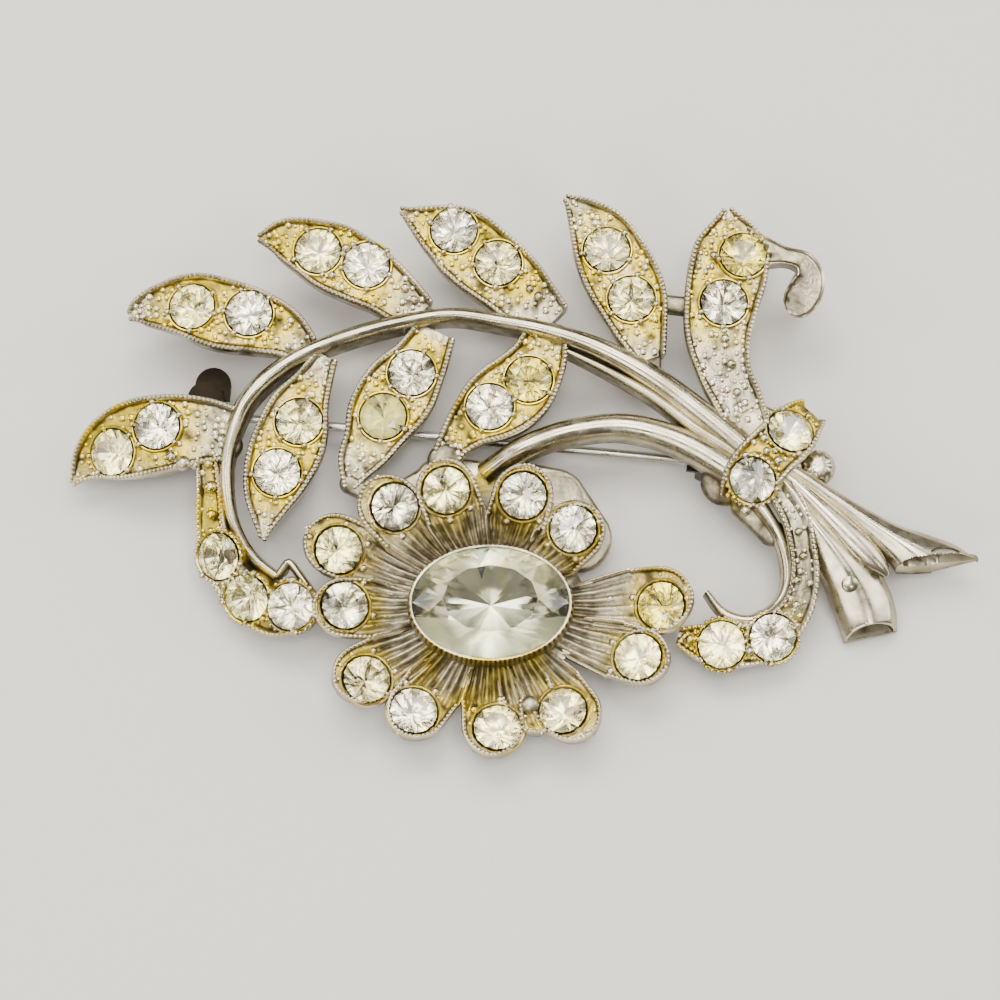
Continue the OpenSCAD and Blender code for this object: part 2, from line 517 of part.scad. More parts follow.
laid() spray();
laid() flower();
laid() centre_stone();
laid() hinge();
laid() catch();
laid() pin_stem();
for (i = [0:len(leaf_stones) - 1])
    laid() on_leaf(leaf_stones[i]) round_stone();
for (i = [0:len(ribbon_stones) - 1])
    laid() on_leaf(ribbon_stones[i]) round_stone();
for (i = [0:len(flourish_stones) - 1])
    laid() on_band(flourish, flourish_stones[i]) round_stone();
for (i = [0:len(scroll_stones) - 1])
    laid() on_band(scroll, scroll_stones[i]) round_stone();
for (i = [0:len(knot_stones) - 1])
    laid() on_band(knot_band, knot_stones[i]) round_stone();
for (i = [0:len(lobes) - 1])
    laid() on_lobe(lobes[i]) round_stone();
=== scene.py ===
"""Looks of the flower spray brooch: plated cast metal, cut glass stones and a steel pin.

Lengths are millimetres in the plane of the casting, as the part's own source has them: x to the
right, y to the top of the design, z up from the pin's side. laid() turns them into the model's metres.
"""
import math

import bpy
import numpy as np
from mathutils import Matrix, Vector, noise


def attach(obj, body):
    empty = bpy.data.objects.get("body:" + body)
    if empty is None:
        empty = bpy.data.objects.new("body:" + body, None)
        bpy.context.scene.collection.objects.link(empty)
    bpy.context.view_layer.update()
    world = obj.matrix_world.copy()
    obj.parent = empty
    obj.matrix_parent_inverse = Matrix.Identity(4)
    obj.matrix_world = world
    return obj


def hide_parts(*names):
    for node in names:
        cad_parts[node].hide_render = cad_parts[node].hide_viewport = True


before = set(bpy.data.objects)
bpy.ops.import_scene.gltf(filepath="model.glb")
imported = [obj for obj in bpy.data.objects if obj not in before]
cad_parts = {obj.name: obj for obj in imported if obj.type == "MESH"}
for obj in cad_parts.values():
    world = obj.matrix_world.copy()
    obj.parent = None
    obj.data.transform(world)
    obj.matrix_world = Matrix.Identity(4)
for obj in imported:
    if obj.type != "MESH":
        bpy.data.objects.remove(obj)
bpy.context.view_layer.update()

LYING = math.radians(6)      # the casting stands up this far along its top edge
MIDDLE = (0.14, -0.25)       # what laid() takes off x and y, to bring the brooch over the origin
LOW_EDGE = 0.48              # y of the hinge's lower edge, which the brooch rests on
BACK = 4.3                   # height of the castings' backs
STONE_R = 2.1
CROWN = 0.75                 # a round stone's table over its girdle
PAVILION = 1.8               # its back under the girdle
GIRDLE_DOWN = 0.25           # its girdle under the metal around it
GILDED_R = 2.6               # gold is strongest up to here from a stone's axis
RIM = 0.75                   # width of a leaf's raised rim
DISH = 0.45                  # depth of its field
PETAL_SLOPE = math.radians(16)
OVAL = (7.0, 5.0)            # halves of the oval stone's length and width
OVAL_CROWN = 2.2
OVAL_DEEP = 3.6
OVAL_GIRDLE = 8.4
CUP_LIP = 0.45               # metal around the oval stone
SHARP_EDGE = math.radians(40)    # an edge of the metal that bends more isn't shaded smooth

# Space kept free of metal for each round stone: radius, depth, slope of its cone and top.
ROOM_R, ROOM_DEEP, ROOM_SLOPE, ROOM_TOP = 2.04, 1.85, 0.8, 0.9

# Leaves and the ribbon's face, from foot to tip: x, y, top, half width.
LEAVES = [
    [[-26.0, 3.7, 6.6, 2.6], [-28.9, 4.0, 6.6, 3.2], [-31.8, 3.85, 6.6, 3.6], [-34.9, 3.4, 6.0, 3.7],
     [-37.4, 2.6, 5.1, 3.2], [-39.3, 1.5, 4.1, 2.0], [-40.8, -0.2, 3.2, 0.3]],
    [[-19.4, 11.6, 6.6, 1.5], [-21.7, 13.3, 6.6, 2.5], [-24.3, 14.3, 6.6, 3.1], [-27.1, 15.0, 6.5, 3.4],
     [-30.0, 15.9, 6.1, 3.2], [-32.7, 16.0, 5.5, 2.4], [-34.8, 15.7, 5.0, 1.5], [-35.9, 15.2, 4.7, 0.5]],
    [[-9.2, 14.8, 6.6, 2.0], [-12.0, 17.3, 6.6, 2.6], [-14.4, 18.9, 6.6, 3.1], [-17.1, 20.4, 6.6, 3.3],
     [-19.7, 21.6, 6.5, 2.7], [-22.0, 22.3, 6.3, 1.9], [-24.1, 22.3, 6.0, 0.3]],
    [[3.0, 14.2, 6.6, 2.2], [1.1, 16.0, 6.6, 2.8], [-1.1, 18.3, 6.6, 3.3], [-3.5, 20.3, 6.6, 3.5],
     [-5.7, 22.2, 6.5, 3.3], [-7.9, 23.4, 6.4, 2.3], [-10.9, 25.0, 6.1, 0.3]],
    [[12.0, 10.8, 6.6, 1.5], [11.1, 13.7, 6.6, 2.6], [10.2, 16.7, 6.6, 3.4], [8.9, 19.6, 6.5, 3.5],
     [7.5, 22.6, 6.3, 3.0], [5.9, 24.8, 6.0, 1.8], [4.3, 26.4, 5.6, 0.3]],
    [[-17.6, 11.0, 6.5, 1.2], [-18.8, 8.4, 6.6, 1.9], [-20.0, 5.9, 6.6, 2.9], [-20.8, 3.1, 6.6, 3.4],
     [-21.8, 0.4, 6.5, 3.2], [-22.6, -2.4, 6.3, 2.3], [-23.1, -5.9, 5.8, 0.3]],
    [[-7.6, 13.4, 6.5, 2.0], [-9.0, 10.6, 6.6, 2.7], [-10.6, 8.2, 6.6, 3.5], [-12.3, 5.6, 6.6, 3.4],
     [-13.5, 3.1, 6.4, 2.6], [-14.7, 1.0, 6.0, 1.9], [-15.4, -1.2, 5.5, 0.6]],
    [[2.4, 12.7, 6.5, 2.2], [1.6, 10.4, 6.6, 2.8], [-0.1, 8.0, 6.6, 3.5], [-2.6, 6.1, 6.6, 3.3],
     [-4.8, 4.3, 6.3, 2.2], [-6.3, 2.4, 5.7, 1.5], [-6.9, 0.6, 5.0, 1.5]],
    [[20.7, 4.4, 7.0, 2.1], [19.8, 7.0, 6.8, 2.3], [18.7, 9.6, 6.7, 2.5], [18.2, 13.0, 6.6, 3.1],
     [18.6, 16.3, 6.6, 3.5], [19.3, 19.6, 6.5, 3.7], [19.5, 22.5, 6.2, 3.0], [19.3, 25.2, 5.8, 0.5]],
]

# Stems, from the knot outwards: x, y, top, half width.
MAIN_STEM = [
    [21.0, 1.8, 7.4, 1.3], [17.5, 4.9, 7.3, 1.25], [12.4, 8.9, 7.3, 1.15], [7.4, 11.7, 7.4, 0.95],
    [2.8, 13.3, 7.4, 0.8], [-1.7, 14.2, 7.4, 0.75], [-6.3, 14.8, 7.4, 0.7], [-10.9, 14.1, 7.3, 0.75],
    [-15.4, 12.9, 7.2, 0.8], [-19.5, 11.3, 7.1, 0.8], [-22.7, 9.2, 7.0, 0.85], [-24.7, 7.0, 6.9, 0.85],
    [-25.8, 4.6, 6.9, 0.8], [-26.4, 2.0, 6.8, 0.65], [-26.5, -0.6, 6.7, 0.6], [-26.1, -3.4, 6.6, 0.55],
    [-25.0, -6.0, 6.5, 0.5], [-23.7, -7.8, 6.4, 0.5], [-21.8, -9.3, 6.3, 0.45],
]
LOWER_STRAND = [
    [19.6, 1.9, 6.9, 0.6], [16.0, 4.3, 6.7, 0.6], [12.2, 7.2, 6.6, 0.55], [8.0, 9.7, 6.5, 0.45],
    [4.2, 11.6, 6.4, 0.3],
]
BRANCH_STEM = [
    [20.4, -0.4, 7.2, 1.4], [16.4, 2.2, 7.2, 1.4], [12.8, 3.8, 7.1, 1.3], [9.2, 4.5, 7.1, 1.25],
    [5.5, 4.2, 7.0, 1.2], [2.4, 3.4, 6.8, 1.15], [-0.4, 2.2, 6.4, 1.1], [-3.4, 0.2, 5.4, 1.1],
]
LONG_TAIL = [
    [22.4, 1.4, 7.2, 0.6], [24.9, 0.2, 7.1, 0.6], [29.3, -2.8, 6.8, 0.8], [31.4, -4.3, 6.7, 1.1],
    [33.6, -5.8, 6.7, 1.5], [35.6, -7.1, 6.7, 2.3], [37.7, -8.6, 6.8, 3.0], [39.7, -10.1, 6.9, 3.0],
]
SHORT_TAIL = [
    [22.8, 0.45, 7.0, 0.8], [24.65, -1.75, 7.0, 1.0], [26.35, -4.35, 6.8, 1.4], [28.25, -6.75, 6.4, 2.0],
    [30.1, -9.3, 5.8, 2.5], [31.35, -11.95, 5.1, 2.8], [31.95, -14.75, 4.6, 2.5],
]
MIDDLE_FLUTE = [
    [22.75, 0.95, 7.1, 0.6], [24.85, -0.85, 7.1, 0.7], [27.65, -3.45, 6.9, 1.1], [30.35, -6.05, 6.5, 1.5],
    [32.3, -8.05, 5.9, 1.3], [33.2, -9.15, 5.3, 0.5],
]
SCROLL_WIRE = [
    [21.6, -2.6, 6.4, 0.8], [23.4, -5.6, 6.2, 0.6], [24.1, -9.0, 6.1, 0.55], [23.2, -11.8, 6.0, 0.55],
    [20.8, -13.2, 5.9, 0.5], [18.4, -12.6, 5.9, 0.45], [16.8, -10.7, 5.9, 0.3],
]
SPIKE = [
    [-21.9, -9.4, 6.0, 0.4], [-21.4, -8.9, 6.4, 0.4], [-20.7, -8.1, 6.6, 0.4], [-19.9, -9.0, 6.4, 0.4],
    [-18.9, -10.4, 6.2, 0.4],
]

# Bands that carry stones or curl over: x, y, top, half width, lean to the right in degrees.
FLOURISH = [
    [-28.35, 1.65, 6.4, 1.0, 0], [-28.05, -2.05, 6.1, 1.3, 12], [-27.95, -4.8, 5.9, 1.5, 22],
    [-27.4, -7.35, 5.8, 1.7, 30], [-26.2, -9.6, 5.7, 1.9, 32], [-24.45, -11.5, 5.8, 2.1, 28],
    [-22.45, -12.75, 6.0, 2.1, 18], [-20.55, -13.05, 6.3, 1.8, 8], [-19.35, -13.05, 6.4, 1.0, 0],
]
SCROLL = [
    [23.4, -1.05, 7.0, 1.4, 0], [24.85, -3.85, 6.9, 1.4, 0], [25.45, -6.6, 6.6, 1.3, -4],
    [25.65, -9.35, 6.4, 1.4, -10], [25.05, -11.95, 6.1, 1.6, -16], [23.6, -13.95, 5.9, 1.9, -18],
    [21.8, -15.25, 5.8, 2.0, -14], [19.8, -15.6, 5.7, 2.0, -8], [17.45, -15.55, 5.6, 1.9, -4],
    [15.7, -15.05, 5.4, 1.6, 0], [14.2, -14.65, 5.1, 0.9, 0],
]
RIBBON_CURL = [
    [20.5, 21.5, 6.3, 2.0, 0], [22.6, 20.9, 6.6, 1.4, 0], [24.5, 20.4, 6.9, 0.9, 0],
    [26.1, 19.8, 7.1, 1.05, -8], [26.7, 18.5, 7.0, 1.35, -10], [26.3, 17.15, 6.6, 1.65, -6],
    [25.55, 16.15, 6.1, 1.6, 0], [25.0, 15.6, 5.7, 1.2, 0], [24.7, 15.35, 5.5, 0.4, 0],
]
KNOT_BAND = [
    [26.9, 6.1, 5.6, 1.6, 0], [25.6, 4.8, 7.1, 2.2, 0], [24.2, 3.1, 8.1, 2.5, 0],
    [22.5, 1.4, 8.6, 2.5, 0], [21.0, -0.2, 8.2, 2.5, 0], [20.0, -1.5, 7.0, 2.2, 0],
    [19.3, -2.5, 5.4, 1.5, 0],
]

# How much gold shows in the field of each leaf and of the ribbon.
LEAF_GILDING = [0.95, 1.5, 1.5, 1.35, 1.3, 1.2, 1.35, 1.45, 0.95]

# Stones on the leaves: leaf, sections along it, distance to the left, glass.
LEAF_STONES = [
    [0, 3.95, 0.4, "cream"], [0, 2.33, -0.7, "clear"], [1, 4.0, 0.1, "cream"], [1, 2.2, -0.6, "clear"],
    [2, 3.5, 0.1, "cream"], [2, 2.0, -0.8, "clear"], [3, 4.25, -0.5, "clear"], [3, 2.5, -0.6, "cream"],
    [4, 3.52, 0.12, "cream"], [4, 1.9, 0, "cream"], [5, 4.1, 0, "clear"], [5, 2.35, 0.35, "cream"],
    [6, 3.1, 0.1, "dead"], [6, 1.5, 0, "clear"], [7, 3.0, -0.15, "clear"], [7, 1.6, 0.25, "yellow"],
]
RIBBON_STONES = [[8, 5.38, -1.2, "yellow"], [8, 3.93, -0.2, "clear"]]
# The same for the bands, without the leaf.
FLOURISH_STONES = [[3.1, 0.1, "cream"], [4.92, 0, "cream"], [6.98, 0.85, "clear"]]
SCROLL_STONES = [[5.55, 0.2, "clear"], [7.7, -0.1, "cream"]]
KNOT_STONES = [[1.68, -0.15, "cream"], [4.4, 0.4, "clear"]]

# Stains that stand out on the casting: x, y, radius, more dirt, more gold.
STAINS = [
    [-38.7, 3.9, 1.3, 0.3, 1.2], [-36.6, 6.2, 1.0, 0.2, 0.8], [-21.7, 22.4, 1.1, 0.3, 1.2],
    [-22.1, 14.2, 0.5, 1.3, 0.3], [-3.1, 22.4, 0.5, 1.3, 0.3], [-1.2, 17.5, 0.5, 1.2, 0.4],
    [0.5, 8.5, 0.5, 1.3, 0.4], [-5.2, 5.9, 1.2, 0.5, 1.3], [-4.5, 4.0, 1.2, 0.1, 1.0],
    [-3.4, 0.1, 1.5, 0.1, 1.0], [3.4, -1.8, 1.2, 0.1, 0.9], [19.9, -2.1, 1.1, 0.25, 1.2],
    [25.3, 6.7, 1.0, 0.3, 1.2], [15.0, -15.0, 1.4, 0.2, 1.3], [-21.4, -13.9, 1.0, 0.6, 0.9],
    [-32.6, 3.2, 0.6, 0.9, 0.4], [-24.9, 11.4, 0.6, 0.9, 0.5], [17.3, 7.4, 0.8, 0.5, 0.3],
    [21.4, 20.6, 0.7, 0.7, 0.6], [-28.2, -3.2, 2.2, 0.1, 1.0], [-28.1, 0.5, 1.1, 0.2, 0.6],
    [-23.2, -12.8, 2.4, 0.2, 0.8],
]
FLOWER_STAINS = [
    [13.6, -10.8, 1.5, 0.3, 1.4], [11.5, -9.3, 1.2, 0.4, 0.9], [-4.4, -20.5, 1.5, 0.1, 1.3],
    [-8.0, -17.0, 1.2, 0.3, 1.2], [-2.6, -17.4, 2.2, 0.3, 1.1], [1.5, -16.6, 1.5, 0.4, 0.9],
    [5.6, -12.5, 1.2, 0.6, 0.7], [5.0, -9.2, 1.4, 0.5, 0.5], [-2.0, -5.6, 2.5, 0.8, 0.3],
    [-7.5, -6.5, 2.0, 0.6, 0.2], [-16.2, -6.0, 1.0, 0.2, 0.8],
]

# Single beads of metal: x, y, height, radius.
BEADS = [
    [-30.4, 1.0, 6.2, 0.75], [-31.5, 1.6, 6.3, 0.5], [-29.3, 0.9, 6.2, 0.5], [-17.1, 18.6, 6.5, 0.4],
    [-15.9, 21.2, 6.5, 0.4], [-10.4, 17.4, 6.5, 0.45], [-9.6, 16.3, 6.5, 0.4], [1.8, 16.6, 6.5, 0.45],
    [1.0, 17.3, 6.5, 0.4], [19.3, 10.2, 6.6, 0.42], [19.8, 7.5, 6.7, 0.42], [17.9, 20.5, 6.5, 0.4],
    [18.8, 12.6, 6.5, 0.45], [23.2, 0.7, 8.6, 0.45], [22.0, 2.8, 8.5, 0.42], [22.2, 1.6, 8.6, 0.38],
    [20.4, -3.3, 5.9, 0.5], [-27.9, -1.2, 6.2, 0.62], [-27.8, -3.7, 6.0, 0.5], [-28.1, 0.9, 6.4, 0.45],
    [-24.8, -8.9, 5.9, 0.45], [-25.9, -10.2, 5.6, 0.4], [-20.4, -9.8, 6.3, 0.4], [-22.3, -10.8, 6.2, 0.4],
    [-21.8, -12.9, 6.1, 0.4], [15.3, -15.0, 5.4, 0.5], [20.6, -16.1, 5.8, 0.4], [24.4, -13.9, 6.0, 0.4],
    [24.8, -12.0, 6.2, 0.4], [24.9, -9.8, 6.4, 0.45], [25.5, -7.6, 6.5, 0.4], [25.1, -5.4, 6.7, 0.4],
]

# The flower's lobes, two to a petal: middle of the round end, half width, stone, girdle's height, glass.
FLOWER_AT = np.array([-2.57, -12.18])
RIBS = 78                    # cast ribs round the flower, from its cup outwards
LOBES = [
    [(-3.9, 10.3), 2.8, (-4.0, 10.4), 7.4, "cream"], [(-9.0, 8.8), 2.9, (-8.6, 8.9), 7.3, "clear"],
    [(7.5, 6.5), 2.7, (7.4, 6.9), 7.2, "clear"], [(2.85, 9.8), 2.8, (2.9, 9.9), 7.4, "clear"],
    [(13.1, -4.5), 2.7, (13.1, -4.6), 6.7, "cream"], [(14.9, 0.6), 3.0, (15.2, 0.0), 7.0, "yellow"],
    [(0.2, -10.6), 2.8, (0.6, -10.9), 6.5, "cream"], [(7.0, -9.4), 2.8, (6.4, -9.4), 6.6, "cream"],
    [(-11.15, -6.05), 2.8, (-11.0, -6.6), 6.7, "cream"], [(-6.4, -9.1), 2.8, (-6.8, -9.4), 6.5, "clear"],
    [(-13.7, 5.4), 2.9, (-13.6, 5.0), 7.1, "cream"], [(-12.9, -0.2), 2.8, (-13.0, 0.0), 6.9, "clear"],
]
BARE_LOBES = [[(3.8, -9.0), 2.4, (3.8, -9.6), 6.3, None]]


def laid(points):
    """Casting millimetres to the model's metres, with the brooch lying on its back."""
    p = np.asarray(points, float)
    c, s = math.cos(LYING), math.sin(LYING)
    x = p[..., 0] - MIDDLE[0]
    y = p[..., 1] * c - p[..., 2] * s - MIDDLE[1]
    z = p[..., 1] * s + p[..., 2] * c - LOW_EDGE * s
    return np.stack([x, y, z], axis=-1) / 1000


def unit(v):
    return v / np.linalg.norm(v)


def along(rows, t):
    """Smooth curve through a table's rows: t runs from 0 to the last row's number."""
    rows = np.asarray(rows, float)
    last = len(rows) - 1
    i = min(int(math.floor(t)), last - 1)
    f = t - i
    a, b, c, d = rows[max(i - 1, 0)], rows[i], rows[i + 1], rows[min(i + 2, last)]
    return (2 * b + (c - a) * f + (2 * a - 5 * b + 4 * c - d) * f ** 2 + (3 * b - a - 3 * c + d) * f ** 3) / 2


def placed(rows, t):
    """Point, directions ahead, left and up, and half width at t on a table."""
    last = len(rows) - 1
    row = along(rows, t)
    step = along(rows, min(t + 0.02, last)) - along(rows, max(t - 0.02, 0))
    ahead = unit(step[:3])
    level = unit(np.cross([0, 0, 1], ahead))
    crest = np.cross(ahead, level)
    lean = math.radians(row[4]) if len(row) > 4 else 0.0
    left = level * math.cos(lean) + crest * math.sin(lean)
    up = crest * math.cos(lean) - level * math.sin(lean)
    return row[:3], ahead, left, up, row[3]


def stone_place(rows, t, aside):
    """Middle of a stone's girdle and its three directions, for a stone set in a strip."""
    p, ahead, left, up, _ = placed(rows, t)
    return p + left * aside - up * GIRDLE_DOWN, ahead, left, up


def level_place(x, y, z):
    """A spot and its three directions, parallel to the casting's plane."""
    return np.array([x, y, z]), np.array([1.0, 0, 0]), np.array([0, 1.0, 0]), np.array([0, 0, 1.0])


def lobe_place(lobe):
    """Middle of a petal stone's girdle and its three directions."""
    x, y = lobe[2]
    turn = math.atan2(y, x)
    out = np.array([math.cos(turn), math.sin(turn), 0])
    side = np.array([-math.sin(turn), math.cos(turn), 0])
    up = np.array([0, 0, 1.0])
    c, s = math.cos(PETAL_SLOPE), math.sin(PETAL_SLOPE)
    return np.array([FLOWER_AT[0] + x, FLOWER_AT[1] + y, lobe[3]]), out * c + up * s, side, up * c - out * s


class Shell:
    """Gathers the surfaces of one piece. Every point has three marks: dirt and painted shade, gilding and
    roughness.
    """

    def __init__(self):
        self.points, self.faces, self.marks = [], [], []
        self.count = 0

    def add(self, points, faces, dirt_and_shade=0.0, gilt=0.0, rough=0.0):
        points = np.asarray(points, float).reshape(-1, 3)
        marks = np.empty((len(points), 3))
        for k, value in enumerate((dirt_and_shade, gilt, rough)):
            marks[:, k] = value
        self.points.append(points)
        self.marks.append(marks)
        self.faces += [tuple(self.count + i for i in f) for f in faces]
        self.count += len(points)

    def build(self, name, material, stains, stones):
        """Makes the piece, with its stains, and with its metal sunk under the stones."""
        points = np.vstack(self.points)
        for at, ahead, left, up in stones:
            q = points - at
            r = np.hypot(q @ ahead, q @ left)
            high = q @ up
            floor = ROOM_SLOPE * np.minimum(r, 2.0) - ROOM_DEEP
            inside = (r < ROOM_R) & (high > floor) & (high < ROOM_TOP)
            points = points + np.where(inside, floor - 0.06 - high, 0)[:, None] * up
        marks = np.vstack(self.marks)
        for x, y, r, dirt_and_shade, gold in stains:
            near = np.exp(-((points[:, 0] - x) ** 2 + (points[:, 1] - y) ** 2) / r ** 2)
            marks[:, 0] += dirt_and_shade * near
            marks[:, 1] += gold * near
        mesh = bpy.data.meshes.new(name)
        mesh.from_pydata(laid(points).tolist(), [], self.faces)
        mesh.polygons.foreach_set("use_smooth", [True] * len(mesh.polygons))
        mesh.set_sharp_from_angle(angle=SHARP_EDGE)
        stain_and_shade = mesh.color_attributes.new("stain_and_shade", "FLOAT_COLOR", "POINT")
        colour = np.ones((len(points), 4))
        colour[:, :3] = np.clip(marks, 0, 1)
        stain_and_shade.data.foreach_set("color", colour.ravel())
        mesh.materials.append(material)
        mesh.update()
        piece = bpy.data.objects.new(name, mesh)
        bpy.context.scene.collection.objects.link(piece)
        return piece


def grid_faces(rings, across):
    """Faces between rings of points, each ring with the same number of them, and over both ends."""
    faces = []
    for i in range(rings - 1):
        for j in range(across):
            a, b = i * across + j, i * across + (j + 1) % across
            faces.append((a, a + across, b + across, b))
    faces.append(tuple(range(across)))
    faces.append(tuple((rings - 1) * across + j for j in reversed(range(across))))
    return faces


def turned_faces(around, n):
    """Faces of a closed ring whose section has n points."""
    return [(i * n + j, (i + 1) % around * n + j, (i + 1) % around * n + j + 1, i * n + j + 1)
            for i in range(around) for j in range(n - 1)]


def grain(p, size, seed=0.0):
    """Smooth bumps about as wide as size, from -1 to 1."""
    return noise.noise(Vector((p[0] / size + seed, p[1] / size, p[2] / size)))


def from_stones(points, stones):
    """Distance of each point from the nearest stone's axis."""
    far = np.full(len(points), 99.0)
    for at, ahead, left, up in stones:
        q = points - at
        far = np.minimum(far, np.hypot(q @ ahead, q @ left))
    return far


def gilded(far, reach):
    """How strongly gold shows at a distance from a stone's axis, from 0 to 1."""
    return np.exp(-(np.maximum(far - GILDED_R, 0) / reach) ** 2)


def carved(points, stones, radius=2.2, below=0.0):
    """Sinks a surface under each stone, so that its foiled back doesn't meet it."""
    for at, ahead, left, up in stones:
        q = points - at
        r = np.hypot(q @ ahead, q @ left)
        high = q @ up
        floor = -0.35 - below - 1.75 * np.clip(1 - r / radius, 0, 1)
        sink = np.where((r < radius) & (high > floor) & (high > -1.4 - below), floor - high, 0)
        points = points + sink[:, None] * up
    return points


def dished(half, thick, rim=RIM, dish=DISH, field=13, under=0):
    """Section of a leaf or petal from its left lower edge to its right one, then back along its underside.

    Each point has its side, up, dirt and painted shade, gilding and roughness. Painted shade darkens the
    outer wall, the crease at the foot of the rim and the underside; the field is a little darker.
    """
    r = min(rim, 0.6 * half)
    k = r / rim
    deep = min(thick, 0.8 + 0.9 * half)
    # Painted shade on the outer wall and in the crease at the rim's foot.
    edge = [
        (0.3 * r, -deep, 0.6, 0.0, 0.2), (0.1 * r, -0.55 * deep, 0.5, 0.0, 0.1), (0, -0.4, 0.3, 0.0, 0.0),
        (0.06 * r, -0.16, 0.05, 0.0, 0.0), (0.22 * r, -0.02, 0.0, 0.0, 0.0), (0.4 * r, 0.0, 0.0, 0.0, 0.0),
        (0.6 * r, -0.08 * k, 0.15, 0.2, 0.2), (0.8 * r, -0.7 * dish * k, 0.9, 0.5, 0.6),
    ]
    left = [(half - x, z, d, g, q) for x, z, d, g, q in edge]
    wide = half - r
    middle = [(wide * (1 - 2 * j / (field - 1)), -dish * k, 0.25, 0.6, 1.0) for j in range(field)]
    right = [(-s, z, d, g, q) for s, z, d, g, q in reversed(left)]
    low = half - 0.3 * r
    # Painted shade on the underside.
    back = [(low * (2 * (j + 1) / (under + 1) - 1), -deep, 0.5, 0.0, 0.2) for j in range(under)]
    return left + middle + right + back


def cup_edge(ahead):
    """Distance from the flower's middle to the outside of its cup."""
    return 1 / math.hypot(ahead[0] / (OVAL[0] + CUP_LIP), ahead[1] / (OVAL[1] + CUP_LIP))


def rib_groove(out):
    """How deep a point lies between two of the flower's ribs, from 0 to 1, and its distance from the cup."""
    far = math.hypot(out[0], out[1])
    sway = 0.9 * noise.noise(Vector((out[0] / 1.6, out[1] / 1.6, 3.3)))
    groove = 0.5 - 0.5 * math.cos(RIBS * math.atan2(out[1], out[0]) + sway)
    return groove, max(far - cup_edge(out / far), 0)


def strip(shell, rows, thick=2.3, pitch=0.3, stones=(), bumps=0.07, rim=RIM, dish=DISH, field=13,
          gilt=1.0, seed=0.0, flutes=0.0, under=0, reach=1.2):
    """Dished strip with raised rims and a field of cast grain, or of ribs where flutes is more than 0.

    gilt is how much gold shows, and reach how far it spreads from the stones.
    """
    rows = np.asarray(rows, float)
    length = np.linalg.norm(np.diff(rows[:, :2], axis=0), axis=1).sum()
    count = max(int(length / pitch), 8)
    points, marks = [], []
    for t in np.linspace(0, len(rows) - 1, count):
        p, ahead, left, up, half = placed(rows, t)
        for side, high, dirt_and_shade, gold, rough in dished(max(half, 0.15), thick, rim, dish, field, under):
            if rough > 0.5 and half > 0.5:
                at = p + left * side
                lump = grain(at, 0.9, seed) + 0.7 * grain(at, 0.45, seed + 9)
                high += bumps * lump
                # A little grime all over the field, and painted shade in the low spots of its grain.
                dirt_and_shade += 0.1 + 0.9 * max(-lump - 0.05, 0)
                if flutes:
                    out = at[:2] - FLOWER_AT
                    groove, off = rib_groove(out)
                    fade = min(max((7.5 - off) / 4, 0.3), 1)
                    high += 1.35 * max(1 - off / 1.9, 0) ** 2 - flutes * groove * fade
                    # Painted shade, brown, in the grooves between the ribs, strongest near the cup.
                    dirt_and_shade += 0.8 * groove * fade * min(max((4.2 - off) / 3, 0.3), 0.75)
            points.append(p + left * side + up * high)
            marks.append((dirt_and_shade, gold * gilt, rough))
    across = len(dished(1, thick, rim, dish, field, under))
    points = np.array(points)
    marks = np.array(marks)
    marks[:, 1] *= 0.3 + 1.3 * gilded(from_stones(points, stones), reach)
    below = np.arange(len(points)) % across >= across - under
    points[~below] = carved(points[~below], stones)
    points[below] = carved(points[below], stones, 2.7, 0.25)
    shell.add(points, grid_faces(count, across), marks[:, 0], marks[:, 1], marks[:, 2])


# The long tail's mouth: a point on it, and how far it is tipped and turned, in degrees.
LONG_TAIL_CUT = ((33.6, -8.0, 6.7), (-15, 7.6))


def cut_frame(cut):
    """Point and directions of a slanting cut: along it, out of what is left, and up."""
    at, (tip, turn) = cut
    a, b = math.radians(tip), math.radians(turn)
    along_cut = np.array([math.cos(b), math.sin(b), 0])
    level = np.array([-math.sin(b), math.cos(b), 0])
    out = level * math.cos(a) + np.array([0, 0, math.sin(a)])
    return np.array(at), along_cut, out, np.cross(along_cut, out)


